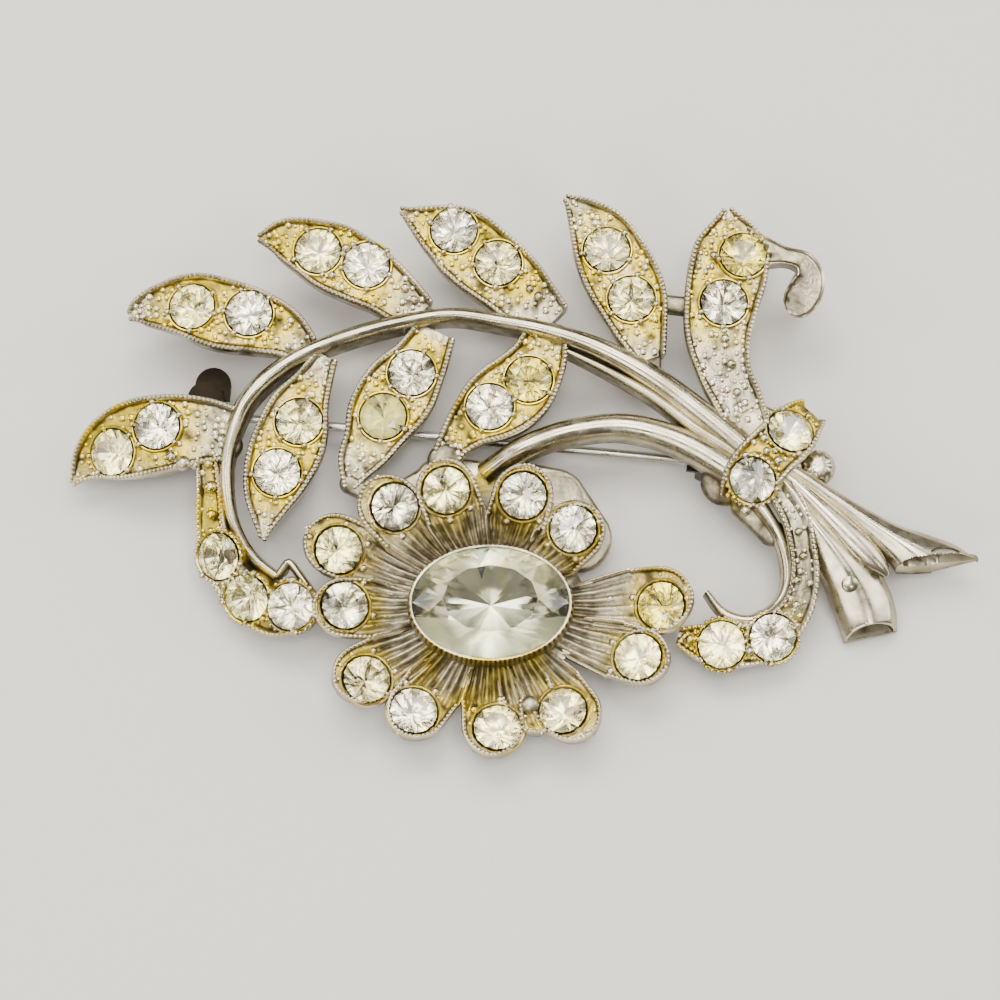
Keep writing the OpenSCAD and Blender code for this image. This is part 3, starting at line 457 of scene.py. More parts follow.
def stem(shell, rows, thick, pitch=0.35, flutes=0, around=20, cut=None, hollow=0.0):
    """Rounded stem, plain or with flutes along its top, cut off slantwise or with a hollow end."""
    rows = np.asarray(rows, float)
    length = np.linalg.norm(np.diff(rows[:, :2], axis=0), axis=1).sum()
    count = max(int(length / pitch), 6)
    points, dirt_and_shade = [], []
    for t in np.linspace(0, len(rows) - 1, count):
        p, ahead, left, up, half = placed(rows, t)
        half = max(half, 0.15)
        back = 1.2 * hollow * max((t / (len(rows) - 1) - 0.84) / 0.16, 0)
        for j in range(around + 1):
            a = math.radians(-12 + 204 * j / around)
            side = half * math.cos(a)
            high = min(half + 0.35, thick) * (math.sin(a) - 1)
            if j in (0, around):
                high = -thick
            elif flutes:
                wave = 0.5 - 0.5 * math.cos(flutes * math.pi * (side / half + 1))
                high -= 0.12 * min(half, 1.5) * wave
            points.append(p + left * side + up * high - ahead * back * max(math.sin(a), 0))
            # Painted shade: none on the stem's top, darkest on its sides and lower edges.
            dirt_and_shade.append(0.65 * (1 - math.sin(max(a, 0)) if a < math.pi else 1) ** 2)
    points, dirt_and_shade = np.array(points), np.array(dirt_and_shade)
    if cut:
        at, run, out, high = cut_frame(cut)
        q = points - at
        past = (q @ out < 0) & (q @ run > -2)
        inside = np.clip(1 - np.hypot((q @ run - 3.4) / 3.0, (q @ high + 1.0) / 1.0), 0, 1)
        points = points - np.where(past, q @ out - 1.6 * inside ** 0.5, 0)[:, None] * out
        # Painted shade inside the slanting mouth.
        dirt_and_shade = np.where(past & (inside > 0), 1.3, dirt_and_shade)
    if hollow:
        ring = points[-(around + 1):]
        middle = ring.mean(axis=0)
        p, ahead, left, up, half = placed(rows, len(rows) - 1)
        # The rings inside the hollow end are darkened with painted shade, more deeply inside.
        for share, back, dark in ((0.86, 0.0, 0.0), (0.76, 0.35 * hollow, 0.8),
                                  (0.6, hollow, 1.2), (0.1, hollow, 1.2)):
            points = np.vstack([points, middle + (ring - middle) * share - ahead * back])
            dirt_and_shade = np.concatenate([dirt_and_shade, np.full(around + 1, dark)])
            count += 1
    shell.add(points, grid_faces(count, around + 1), dirt_and_shade)


def bead_shape():
    """Points and faces of a ball with few faces."""
    g = (1 + 5 ** 0.5) / 2
    raw = [(-1, g, 0), (1, g, 0), (-1, -g, 0), (1, -g, 0), (0, -1, g), (0, 1, g), (0, -1, -g), (0, 1, -g),
           (g, 0, -1), (g, 0, 1), (-g, 0, -1), (-g, 0, 1)]
    faces = [(0, 11, 5), (0, 5, 1), (0, 1, 7), (0, 7, 10), (0, 10, 11), (1, 5, 9), (5, 11, 4), (11, 10, 2),
             (10, 7, 6), (7, 1, 8), (3, 9, 4), (3, 4, 2), (3, 2, 6), (3, 6, 8), (3, 8, 9), (4, 9, 5),
             (2, 4, 11), (6, 2, 10), (8, 6, 7), (9, 8, 1)]
    points = [np.array(p) / math.hypot(1, g) for p in raw]
    cuts, fine = {}, []
    for a, b, c in faces:
        ends = []
        for i, j in ((a, b), (b, c), (c, a)):
            key = (min(i, j), max(i, j))
            if key not in cuts:
                cuts[key] = len(points)
                points.append(unit(points[i] + points[j]))
            ends.append(cuts[key])
        ab, bc, ca = ends
        fine += [(a, ab, ca), (b, bc, ab), (c, ca, bc), (ab, bc, ca)]
    return np.array(points[:12]), faces, np.array(points), fine


FEW_POINTS, FEW_FACES, BALL_POINTS, BALL_FACES = bead_shape()


def bead(shell, at, r, dirt_and_shade=0.0, gilt=0.0, fine=False, flat=1.0):
    points = BALL_POINTS if fine else FEW_POINTS
    faces = BALL_FACES if fine else FEW_FACES
    shell.add(np.asarray(at) + points * np.array([r, r, r * flat]), faces, dirt_and_shade, gilt)


def milgrain(shell, rows, pitch, r, inset=0.3, span=(0.0, 1.0), stones=()):
    """Row of small beads along the crest of a strip's rims."""
    rows = np.asarray(rows, float)
    last = len(rows) - 1
    for sign in (1, -1):
        steps = [placed(rows, t) for t in np.linspace(span[0] * last, span[1] * last, 240)]
        track = [p + left * sign * (half - min(inset, 0.4 * half)) - up * 0.02
                 for p, _, left, up, half in steps]
        gone = 0.0
        for a, b in zip(track, track[1:]):
            gone += np.linalg.norm(b - a)
            if gone < pitch:
                continue
            gone = 0.0
            if from_stones(b[None], stones)[0] >= 2.15:
                bead(shell, b, r, dirt_and_shade=0.05, gilt=0.1)


def chance(a, b):
    """Repeatable number from 0 to 1."""
    return (math.sin(a * 127.1 + b * 311.7) * 43758.5453) % 1.0


def grains(shell, rows, stones=(), pitch=0.72, size=(0.18, 0.42), rim=RIM, dish=DISH, seed=0, gilt=1.0,
           reach=1.2):
    """Cast grains that fill a dished field around its stones."""
    rows = np.asarray(rows, float)
    length = np.linalg.norm(np.diff(rows[:, :2], axis=0), axis=1).sum()
    steps = int(length / pitch)
    for i in range(1, steps):
        p, ahead, left, up, half = placed(rows, (i + 0.4 * chance(seed, i)) / steps * (len(rows) - 1))
        room = half - 0.75 * min(rim, 0.6 * half)
        across = int(2 * room / pitch) + 1
        for j in range(across):
            side = room * (2 * (j + 0.5 + 0.8 * (chance(i, j + seed) - 0.5)) / across - 1)
            at = p + left * side - up * 0.8 * dish + ahead * 0.5 * (chance(j, i + seed) - 0.5)
            far = from_stones(at[None], stones)[0]
            if chance(j + seed, i) < 0.2 or far < 2.42:
                continue
            gold = gilt * gilded(far, reach) * (0.3 + 0.7 * chance(i + 7, j + 2))
            r = size[0] + (size[1] - size[0]) * chance(i + 3, j + 5 + seed)
            bead(shell, at, r, dirt_and_shade=0.1, gilt=gold, flat=0.85)


def prongs(shell, place, turns, r=0.3, out=2.32, gilt=0.35, lift=0.12):
    """Beads of metal pushed over a stone's edge."""
    at, ahead, left, up = place
    for a in turns:
        q = at + (ahead * math.cos(a) + left * math.sin(a)) * out + up * lift
        bead(shell, q, r, dirt_and_shade=0.05, gilt=gilt, fine=True)


def lathe(shell, place, profile, around=40, ribs=0, ribs_deep=0.07):
    """Ring turned about a stone's axis: profile points are radius, height, dirt and painted shade, and
    gilding.
    """
    at, ahead, left, up = place
    points, dirt_and_shade_values, gilts = [], [], []
    for i in range(around):
        a = 2 * math.pi * i / around
        grow = 1 + ribs_deep * math.cos(ribs * a) if ribs else 1
        for r, z, d, g in profile:
            points.append(at + ahead * (math.cos(a) * r * grow) + left * (math.sin(a) * r * grow) + up * z)
            dirt_and_shade_values.append(d)
            gilts.append(g)
    shell.add(points, turned_faces(around, len(profile)), dirt_and_shade_values, gilts)


# Rims round the stones: radius, height over the girdle, dirt and painted shade, and gilding. Painted shade
# darkens the inner wall that drops to each stone's seat.
BAND_BEZEL = [(2.5, -1.5, 0.7, 0.6), (2.5, -0.3, 0.3, 0.9), (2.44, -0.02, 0.1, 0.9), (2.34, 0.05, 0, 0.8),
              (2.26, 0.0, 0.2, 1.0), (2.18, -0.1, 0.6, 1.2), (2.14, -0.18, 0.9, 1.2), (2.14, -0.5, 1, 1.0)]
LEAF_BEZEL = [(2.5, -0.4, 0.6, 1.2), (2.42, -0.06, 0.3, 1.2), (2.34, 0.03, 0.1, 1.0), (2.26, 0.02, 0.2, 1.0),
              (2.18, -0.08, 0.6, 1.2), (2.14, -0.16, 0.9, 1.2), (2.14, -0.5, 1, 1.0)]
PETAL_BEZEL = [(2.62, -0.35, 0.5, 0.6), (2.5, 0.02, 0.1, 0.6), (2.4, 0.08, 0.05, 0.8), (2.3, 0.0, 0.3, 1.2),
               (2.2, -0.14, 0.5, 1.2), (2.14, -0.22, 0.9, 1.2), (2.14, -0.6, 1, 1.0)]


def facets(length, width, crown, deep, table, n=8, girdle=0.06, star=0.52, keel=0.3):
    """Brilliant cut: points, crown faces and pavilion faces, as halves of the length and the width."""
    def ring(r, z, shift=0.0, count=n):
        return [(length * r * math.cos(2 * math.pi * (i + shift) / count),
                 width * r * math.sin(2 * math.pi * (i + shift) / count), z) for i in range(count)]
    c = math.cos(math.pi / n)
    s_r = table + (1 - table) * star
    s_z = crown - (s_r * c - table) * (crown - girdle / 2) / (1 - table)
    k_z = -deep + keel * c * (deep - girdle / 2)
    points = ring(table, crown) + ring(s_r, s_z, 0.5)
    points += ring(1, girdle / 2, 0, 2 * n) + ring(1, -girdle / 2, 0, 2 * n)
    points += ring(keel, k_z, 0.5) + [(0, 0, -deep)]
    t, s, g, h, k, tip = 0, n, 2 * n, 4 * n, 6 * n, 7 * n
    top = [tuple(range(n))]
    low = []
    for i in range(n):
        j, b = (i + 1) % n, (i - 1) % n
        top += [(t + i, s + i, t + j), (t + i, s + b, g + 2 * i, s + i)]
        top += [(s + i, g + 2 * i, g + 2 * i + 1), (s + i, g + 2 * i + 1, g + (2 * i + 2) % (2 * n))]
        low += [(tip, k + i, h + 2 * i, k + b)]
        low += [(k + i, h + 2 * i + 1, h + 2 * i), (k + i, h + (2 * i + 2) % (2 * n), h + 2 * i + 1)]
    for i in range(2 * n):
        j = (i + 1) % (2 * n)
        low += [(g + i, h + i, h + j, g + j)]
    return np.array(points), top, low


def cut_glass(name, node, place, shape, glass, foils, turn=0.0, seed=0.0, share=0.15, shake=0.07,
              painted_dark_facets=(), clouded_to=None):
    """One stone: glass above, and below it the foil that it is backed with.

    foils are the bright one, the darkened one of a share of the facets and of the chosen facets, worn foil
    with painted dark reflections, and the clouded one of the facets in front of clouded_to. shake is how
    uneven the back was pressed.
    """
    points, top, low = shape
    points = points.copy()
    n = (len(points) - 1) // 7
    for k in range(6 * n, 7 * n + 1):
        points[k] *= 1 + shake * (chance(seed, k) - 0.5)
        points[k, :2] += shake * np.array([chance(k, seed + 3) - 0.5, chance(k + 5, seed) - 0.5])
    at, ahead, left, up = place
    c, s = math.cos(turn), math.sin(turn)
    x = points[:, 0] * c - points[:, 1] * s
    y = points[:, 0] * s + points[:, 1] * c
    world = at + np.outer(x, ahead) + np.outer(y, left) + np.outer(points[:, 2], up)
    mesh = bpy.data.meshes.new(name)
    mesh.from_pydata(laid(world).tolist(), [], top + low)
    for material in (glass, *foils):
        mesh.materials.append(material)
    # A share of the facets, and the chosen ones, get the darkened foil: worn foil and painted dark
    # reflections.
    backs = [2 if chance(seed + 0.7, k) < share or k in painted_dark_facets else 1 for k in range(len(low))]
    for k, face in enumerate(low):
        if clouded_to and np.mean([points[v, 1] for v in face]) < clouded_to:
            backs[k] = 3
    mesh.polygons.foreach_set("material_index", [0] * len(top) + backs)
    mesh.update()
    piece = bpy.data.objects.new(name, mesh)
    bpy.context.scene.collection.objects.link(piece)
    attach(piece, "brooch")
    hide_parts(node)
    return piece


def linear(hex_colour):
    """sRGB hex to the linear colour that Blender works in."""
    values = [int(hex_colour[i:i + 2], 16) / 255 for i in (1, 3, 5)]
    return tuple(v / 12.92 if v <= 0.04045 else ((v + 0.055) / 1.055) ** 2.4 for v in values) + (1.0,)


def add_node(tree, kind, links=None, **settings):
    """Adds a node with its settings. links gives its inputs their values or other nodes' outputs."""
    made = tree.nodes.new(kind)
    for key, value in settings.items():
        setattr(made, key, value)
    for key, value in (links or {}).items():
        socket = made.inputs[key]
        if isinstance(value, bpy.types.NodeSocket):
            tree.links.new(value, socket)
        else:
            socket.default_value = value
    return made


def new_material(name):
    material = bpy.data.materials.new(name)
    material.use_nodes = True
    tree = material.node_tree
    shader = next(n for n in tree.nodes if n.type == "BSDF_PRINCIPLED")
    return material, tree, shader


def plated_metal(name, bright, worn, dirt_and_shade_colour, gold, smooth, grain_mm, bump_mm):
    """Plated or drawn metal: bright on its crests, dark in its hollows with painted shade and grime, and
    golden where its plate has worn.

    grain_mm is the width of its surface's grain and bump_mm how high that stands. Wear comes in clouds of
    3.8 mm, a scale of 260, and specks of 1.1 mm, a scale of 900.
    """
    material, tree, shader = new_material(name)
    where = add_node(tree, "ShaderNodeTexCoord").outputs["Object"]
    marks = add_node(tree, "ShaderNodeVertexColor", layer_name="stain_and_shade").outputs["Color"]
    split = add_node(tree, "ShaderNodeSeparateColor", {0: marks})
    dirt_and_shade, gilt, rough = split.outputs[0], split.outputs[1], split.outputs[2]
    cloud = add_node(tree, "ShaderNodeTexNoise", {"Vector": where, "Scale": 260.0, "Detail": 4.0})
    fine = add_node(tree, "ShaderNodeTexNoise", {"Vector": where, "Scale": 1000 / grain_mm, "Detail": 3.0,
                                                "Roughness": 0.6})
    speck = add_node(tree, "ShaderNodeTexNoise", {"Vector": where, "Scale": 900.0, "Detail": 3.0})
    blend = add_node(tree, "ShaderNodeMapRange", {0: cloud.outputs[0], 1: 0.35, 2: 0.7})
    base = add_node(tree, "ShaderNodeMix", {0: blend.outputs[0], 6: linear(bright), 7: linear(worn)},
                    data_type="RGBA")
    spread = add_node(tree, "ShaderNodeMath", {0: gilt, 1: cloud.outputs[0]}, operation="MULTIPLY")
    gold_share = add_node(tree, "ShaderNodeMapRange", {0: spread.outputs[0], 1: 0.12, 2: 0.5, 4: 0.85})
    golden = add_node(tree, "ShaderNodeMix", {0: gold_share.outputs[0], 6: base.outputs[2], 7: linear(gold)},
                      data_type="RGBA")
    patchy = add_node(tree, "ShaderNodeMapRange", {0: speck.outputs[0], 1: 0.3, 2: 0.7, 3: 0.38, 4: 0.64})
    # Darkening from the first mark, grime and painted shade, broken up by specks.
    dark = add_node(tree, "ShaderNodeMath", {0: dirt_and_shade, 1: patchy.outputs[0]}, operation="MULTIPLY")
    dark_share = add_node(tree, "ShaderNodeMapRange", {0: dark.outputs[0], 1: 0.05, 2: 0.55, 4: 0.9})
    colour = add_node(tree, "ShaderNodeMix", {0: dark_share.outputs[0], 6: golden.outputs[2],
                                              7: linear(dirt_and_shade_colour)}, data_type="RGBA")
    tree.links.new(colour.outputs[2], shader.inputs["Base Color"])
    shader.inputs["Metallic"].default_value = 1.0
    rise = add_node(tree, "ShaderNodeMapRange", {0: speck.outputs[0], 1: 0.3, 2: 0.8, 3: smooth,
                                                 4: smooth + 0.22})
    more = add_node(tree, "ShaderNodeMath", {0: dark_share.outputs[0], 1: 0.3, 2: rise.outputs[0]},
                    operation="MULTIPLY_ADD")
    tree.links.new(more.outputs[0], shader.inputs["Roughness"])
    weight = add_node(tree, "ShaderNodeMath", {0: rough, 1: 0.95, 2: 0.05}, operation="MULTIPLY_ADD")
    height = add_node(tree, "ShaderNodeMath", {0: fine.outputs[0], 1: weight.outputs[0]},
                      operation="MULTIPLY")
    bump = add_node(tree, "ShaderNodeBump", {"Height": height.outputs[0], "Distance": bump_mm / 1000,
                                             "Strength": 1.0})
    tree.links.new(bump.outputs[0], shader.inputs["Normal"])
    return material


def glass_of(name, tint, cloudy=0.0):
    """Lead glass of a cut stone: clear, sharp in its reflections, faintly tinted with age."""
    material, _, shader = new_material(name)
    shader.inputs["Base Color"].default_value = linear(tint)
    shader.inputs["Roughness"].default_value = cloudy
    shader.inputs["IOR"].default_value = 1.55
    shader.inputs["Transmission Weight"].default_value = 1.0
    return material


def foil_of(name, colour, rough, patches, patch_colour):
    """Foil on a stone's back: a mirror that has darkened in patches of 1.7 mm, a scale of 600."""
    material, tree, shader = new_material(name)
    where = add_node(tree, "ShaderNodeTexCoord").outputs["Object"]
    cloud = add_node(tree, "ShaderNodeTexNoise", {"Vector": where, "Scale": 600.0, "Detail": 4.0})
    share = add_node(tree, "ShaderNodeMapRange", {0: cloud.outputs[0], 1: 0.62 - patches,
                                                  2: 0.78 - patches, 4: 0.8})
    mixed = add_node(tree, "ShaderNodeMix", {0: share.outputs[0], 6: linear(colour), 7: linear(patch_colour)},
                     data_type="RGBA")
    tree.links.new(mixed.outputs[2], shader.inputs["Base Color"])
    shader.inputs["Metallic"].default_value = 1.0
    shader.inputs["Roughness"].default_value = rough
    return material


# Cast white metal with a warm silver plate, polished on its crests. Its 0.35 mm cast grain breaks up the
# reflections in the leaves' fields, and worn plate shows lemon yellow there.
# Its dark brown #2A2114 is grime, and painted shade in its hollows, creases and undersides.
SPRAY_METAL = plated_metal("plated white metal", "#D0C6AA", "#988F74", "#2A2114", "#D2B822", 0.17, 0.35, 0.08)
# The same plate, its colours lighter than the spray's: painted light. Brown painted shade lies between the
# ribs, so that they read as fine bright lines.
FLOWER_METAL = plated_metal("plated white metal, lighter, with painted light and shade", "#D8CDB0", "#A0967A", "#2E2518", "#CFB63C",
                            0.18, 0.3, 0.09)
# Stamped brass, nearly black: dark with age, and darker still with painted shade for the shadow that the
# hinge and catch lie in under the casting. Only soft highlights show its form.
FITTINGS = plated_metal("plated brass fittings, dark with age and painted shade", "#1E1913", "#14100B", "#0E0A06", "#2E2412",
                        0.3, 0.3, 0.05)
# Drawn steel wire, cold and bright, with brown specks. Its drawing marks are far finer than 0.2 mm and are
# drawn that coarse so that they show.
STEEL = plated_metal("drawn steel wire", "#C9C6BE", "#A8A294", "#5A4028", "#8A6A3A", 0.22, 0.2, 0.02)

# Pressed lead glass, polished: sharp white reflections over the foil.
GLASS = {
    # Almost without colour.
    "clear": glass_of("clear lead glass", "#FFFEF8"),
    # Slightly warm, as the older stones look.
    "cream": glass_of("clear glass, yellowed", "#FFFCEC"),
    # Plainly yellow all through.
    "yellow": glass_of("clear glass, yellow with age", "#FDF3C2"),
    # Etched by damp, so that its facets blur.
    "dead": glass_of("clouded glass", "#FDFAE0", 0.1),
    # A trace of green, which shows in its thickness.
    "oval": glass_of("clear oval glass", "#FEFFF4"),
}
# Foil on the stones' backs: the mirror that makes them sparkle.
FOIL = {
    # White, with hardly a patch.
    "clear": foil_of("bright foil", "#FBF7E6", 0.15, 0.02, "#ECE3B4"),
    # Cream, with some yellow patches.
    "cream": foil_of("yellowed foil", "#FAF5D2", 0.17, 0.03, "#EDE4A2"),
    # Lemon yellow, with softer reflections.
    "yellow": foil_of("yellow foil", "#F6EFAE", 0.18, 0.06, "#E4D87C"),
    # Matt and yellowish, without sparkle.
    "dead": foil_of("clouded foil", "#F4EFBE", 0.4, 0.08, "#DCCB78"),
    # Grey single facets: worn foil, with painted dark reflections that give the others contrast.
    "dull_and_painted_dark": foil_of("foil gone dull", "#8E897C", 0.2, 0.0, "#5E5A50"),
    # The milky front half of the oval's back.
    "cloudy": foil_of("clouded foil of the oval", "#F8F9E4", 0.3, 0.05, "#E0E6C4"),
    # Cream mirror with soft patches, seen large through the table.
    "oval": foil_of("oval foil", "#FDFBE4", 0.11, 0.1, "#F2EEBC"),
    # The one bluish grey facet behind the table, a painted dark reflection.
    "oval dull": foil_of("oval foil gone dull", "#A0A7A6", 0.1, 0.0, "#7A8384"),
}

# Stones and where they sit.
spray_places = {}
for i, (leaf, t, aside, kind) in enumerate(LEAF_STONES):
    spray_places[f"leaf_stone_{i + 1}"] = (stone_place(LEAVES[leaf], t, aside), kind, "leaf")
for i, (leaf, t, aside, kind) in enumerate(RIBBON_STONES):
    spray_places[f"ribbon_stone_{i + 1}"] = (stone_place(LEAVES[leaf], t, aside), kind, "leaf")
for group, rows, stones in (("flourish", FLOURISH, FLOURISH_STONES), ("scroll", SCROLL, SCROLL_STONES),
                            ("knot", KNOT_BAND, KNOT_STONES)):
    for i, (t, aside, kind) in enumerate(stones):
        spray_places[f"{group}_stone_{i + 1}"] = (stone_place(rows, t, aside), kind, "band")
petal_places = {f"petal_stone_{i + 1}": (lobe_place(lobe), lobe[4]) for i, lobe in enumerate(LOBES)}

round_cut = facets(STONE_R, STONE_R, CROWN, PAVILION, 0.56)
for i, (name, (place, kind, _)) in enumerate(spray_places.items()):
    cut_glass(name + "_cut", name, place, round_cut, GLASS[kind], (FOIL[kind], FOIL["dull_and_painted_dark"]),
              turn=0.4 * i, seed=i + 1)
for i, (name, (place, kind)) in enumerate(petal_places.items()):
    cut_glass(name + "_cut", name, place, round_cut, GLASS[kind], (FOIL[kind], FOIL["dull_and_painted_dark"]),
              turn=0.3 * i, seed=i + 40)
oval_place = level_place(FLOWER_AT[0], FLOWER_AT[1], OVAL_GIRDLE)
oval_cut = facets(OVAL[0], OVAL[1], OVAL_CROWN, OVAL_DEEP, 0.6, n=12, keel=0.45)
cut_glass("centre_stone_cut", "centre_stone", oval_place, oval_cut, GLASS["oval"],
          (FOIL["oval"], FOIL["oval dull"], FOIL["cloudy"]), seed=3, share=0.0, shake=0.1,
          painted_dark_facets=(10,), clouded_to=-0.9)

# The spray's casting.
spray = Shell()
leaf_places = [[] for _ in LEAVES]
for i, row in enumerate(LEAF_STONES):
    leaf_places[row[0]].append(spray_places[f"leaf_stone_{i + 1}"][0])
for i, row in enumerate(RIBBON_STONES):
    leaf_places[row[0]].append(spray_places[f"ribbon_stone_{i + 1}"][0])
for i, rows in enumerate(LEAVES):
    strip(spray, rows, stones=leaf_places[i], seed=3.1 * i, pitch=0.26, bumps=0.13, field=17,
          gilt=LEAF_GILDING[i], reach=1.8)
    milgrain(spray, rows, pitch=0.37, r=0.25, stones=leaf_places[i])
    grains(spray, rows, stones=leaf_places[i], seed=11 * i, gilt=LEAF_GILDING[i], reach=1.8)
    for k, place in enumerate(leaf_places[i]):
        first = 0.5 + 6.28 * chance(i, k)
        prongs(spray, place, [first + q * 1.26 + 0.5 * chance(q, i + k) for q in range(5)])
for rows, group in ((FLOURISH, "flourish"), (SCROLL, "scroll"), (KNOT_BAND, "knot")):
    places = [p[0] for name, p in spray_places.items() if name.startswith(group)]
    strip(spray, rows, stones=places, gilt=1.2, seed=41.0)
    milgrain(spray, rows, pitch=0.42, r=0.21, stones=places)
    grains(spray, rows, stones=places, seed=5, pitch=0.8)
    for k, place in enumerate(places):
        prongs(spray, place, [k + q * 2 * math.pi / 26 for q in range(26)], out=2.46, r=0.2, lift=-0.06)
        prongs(spray, place, [0.9 + q * 2.1 + k for q in range(3)], out=2.42, r=0.33, lift=0.1)
strip(spray, RIBBON_CURL, thick=1.8, rim=0.4, dish=0.2, field=9, gilt=0.0, bumps=0.03, stones=leaf_places[8])
for rows, thick in ((MAIN_STEM, 3.0), (LOWER_STRAND, 2.4), (BRANCH_STEM, 2.8), (SCROLL_WIRE, 1.9),
                    (MIDDLE_FLUTE, 2.2), (SPIKE, 1.6)):
    stem(spray, rows, thick)
stem(spray, SHORT_TAIL, 2.4, flutes=2, around=28, hollow=1.1)
stem(spray, LONG_TAIL, 2.6, pitch=0.16, flutes=2, around=44, cut=LONG_TAIL_CUT)
# A small round boss on the short tail; its side is darkened with painted shade.
spot, ahead, left, up, _ = placed(SHORT_TAIL, 4.16)
lathe(spray, (spot - left * 0.66 + up * 0.02, ahead, left, up),
      [(0.76, -0.4, 0.5, 0), (0.72, -0.02, 0.4, 0), (0.62, 0.05, 0.1, 0), (0.01, 0.05, 0.15, 0)], around=24)
for place, kind, where in spray_places.values():
    lathe(spray, place, LEAF_BEZEL if where == "leaf" else BAND_BEZEL)


def pad(shell, a, b, r, low, high, around=28, dirt_and_shade=0.4):
    """Low pad of metal with round ends and a rounded edge, from spot a to spot b."""
    turn = math.atan2(b[1] - a[1], b[0] - a[0])
    points = []
    for inset, z in ((0, low), (0, high - 0.4), (0.12, high - 0.14), (0.4, high)):
        for i in range(around):
            angle = turn + 2 * math.pi * (i + 0.5) / around
            x, y = b if math.cos(angle - turn) > 0 else a
            points.append((x + (r - inset) * math.cos(angle), y + (r - inset) * math.sin(angle), z))
    shell.add(points, grid_faces(4, around), dirt_and_shade, 0.2, 0.5)


# The plate behind the flower: x, y, radius of each corner.
PLATE = [(-9.8, -2.4, 2.6), (-7.0, -0.6, 2.4), (-1.6, -1.2, 3.0), (3.1, -2.1, 3.3), (5.3, -5.5, 3.0)]
for a, b in zip(PLATE, PLATE[1:]):
    pad(spray, a[:2], b[:2], (a[2] + b[2]) / 2, BACK - 0.9, BACK + 0.1)
# Short webs that join the leaves and bands to the stems: two ends, half width, top over the back.
WEBS = [
    [(-26.35, 3.0), (-28.05, 0.65), 1.2, 1.3], [(-18.55, 11.55), (-20.6, 12.55), 1.15, 1.3],
    [(-8.65, 14.6), (-10.65, 15.85), 1.15, 1.3], [(2.05, 13.55), (1.35, 15.05), 1.55, 1.3],
    [(11.85, 9.55), (11.85, 12.0), 1.2, 1.3], [(13.05, 16.35), (16.2, 15.95), 0.85, 1.3],
    [(-15.45, -0.65), (-11.55, -2.6), 0.85, 1.3], [(-6.75, 1.45), (-6.0, -1.2), 1.6, 1.3],
    [(-26.3, -6.0), (-25.65, -8.6), 0.55, 0.45], [(-21.95, -9.25), (-22.05, -12.05), 0.6, 0.6],
    [(20.35, -2.65), (22.85, -5.15), 1.2, 1.1],
]
# The webs lie low between leaves and stems and are darkened with painted shade.
for a, b, r, top in WEBS:
    pad(spray, a, b, r, BACK + 0.1, BACK + top, dirt_and_shade=0.85)
# Pads under the knot and its boss: x, y, radius, height, dirt and painted shade. The low pad at 18.7, -0.4
# lies under the knot and is dark with painted shade.
for x, y, r, high, dirt_and_shade in (
    (19.0, 2.6, 2.4, 2.3, 0.4), (21.4, 1.4, 2.6, 2.3, 0.4), (23.2, 0.4, 2.4, 2.3, 0.4),
    (21.8, 4.0, 2.4, 2.3, 0.4), (18.7, -0.4, 2.2, 0.9, 0.95), (27.1, 0.8, 1.6, 1.4, 0.4),
):
    pad(spray, (x, y), (x, y), r, BACK, BACK + high, dirt_and_shade=dirt_and_shade)
# The knot's boss, its side darkened with painted shade.
lathe(spray, level_place(27.1, 0.8, BACK + 1.75),
      [(1.55, -1.2, 0.6, 0.1), (1.5, -0.4, 0.3, 0.1), (1.25, 0.05, 0.1, 0), (0.8, 0.3, 0, 0),
       (0.3, 0.4, 0, 0), (0.01, 0.36, 0.3, 0)], around=44, ribs=11)
for x, y, z, r in BEADS:
    bead(spray, (x, y, z), r, dirt_and_shade=0.05, gilt=0.15, fine=True, flat=0.85)
spray_piece = spray.build("spray_casting", SPRAY_METAL, STAINS, [row[0] for row in spray_places.values()])
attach(spray_piece, "brooch")
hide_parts("spray")

# The flower's casting.
flower = Shell()


def lobe_rows(lobe):
    """Table of a lobe from the cup to its round end, as a leaf's."""
    end, half = np.array(lobe[0]), lobe[1]
    reach = np.linalg.norm(end)
    ahead = end / reach
    stone_r = np.linalg.norm(lobe[2])
    rows = [(0.9 * cup_edge(ahead), 1.8)]
    rows += [(reach + s * half, half * (math.sqrt(max(1 - s * s, 0)) if s > 0 else 1))
             for s in (-1, -0.75, -0.5, -0.25, 0, 0.25, 0.5, 0.7, 0.85, 0.94, 0.985, 1)]
    out = []
    for run, wide in rows:
        x, y = FLOWER_AT + ahead * run
        out.append([x, y, lobe[3] + GIRDLE_DOWN + (run - stone_r) * math.tan(PETAL_SLOPE), wide])
    return out


flower_places = [lobe_place(lobe) for lobe in LOBES]
for i, lobe in enumerate(LOBES + BARE_LOBES):
    strip(flower, lobe_rows(lobe), thick=1.3, pitch=0.22, stones=flower_places, rim=0.55, dish=0.3, field=41,
          bumps=0.06, gilt=0.85, seed=7.7 * i, flutes=0.24, under=11)
    milgrain(flower, lobe_rows(lobe), pitch=0.4, r=0.2, inset=0.24, span=(0.1, 1.0))
    grains(flower, lobe_rows(lobe)[3:], stones=flower_places, pitch=0.8, size=(0.13, 0.28), rim=0.5, dish=0.3,
           seed=70 + i, gilt=0.8)
    if lobe[4]:
        prongs(flower, lobe_place(lobe), [2.6 + 0.4 * chance(i, 1), 3.7 + 0.4 * chance(i, 2)], out=2.75,
               r=0.36, gilt=0.3, lift=-0.1)
        lathe(flower, lobe_place(lobe), PETAL_BEZEL)
cup_low = -(FLOWER_AT[1] - OVAL[1] - CUP_LIP - LOW_EDGE) * math.tan(LYING) - OVAL_GIRDLE


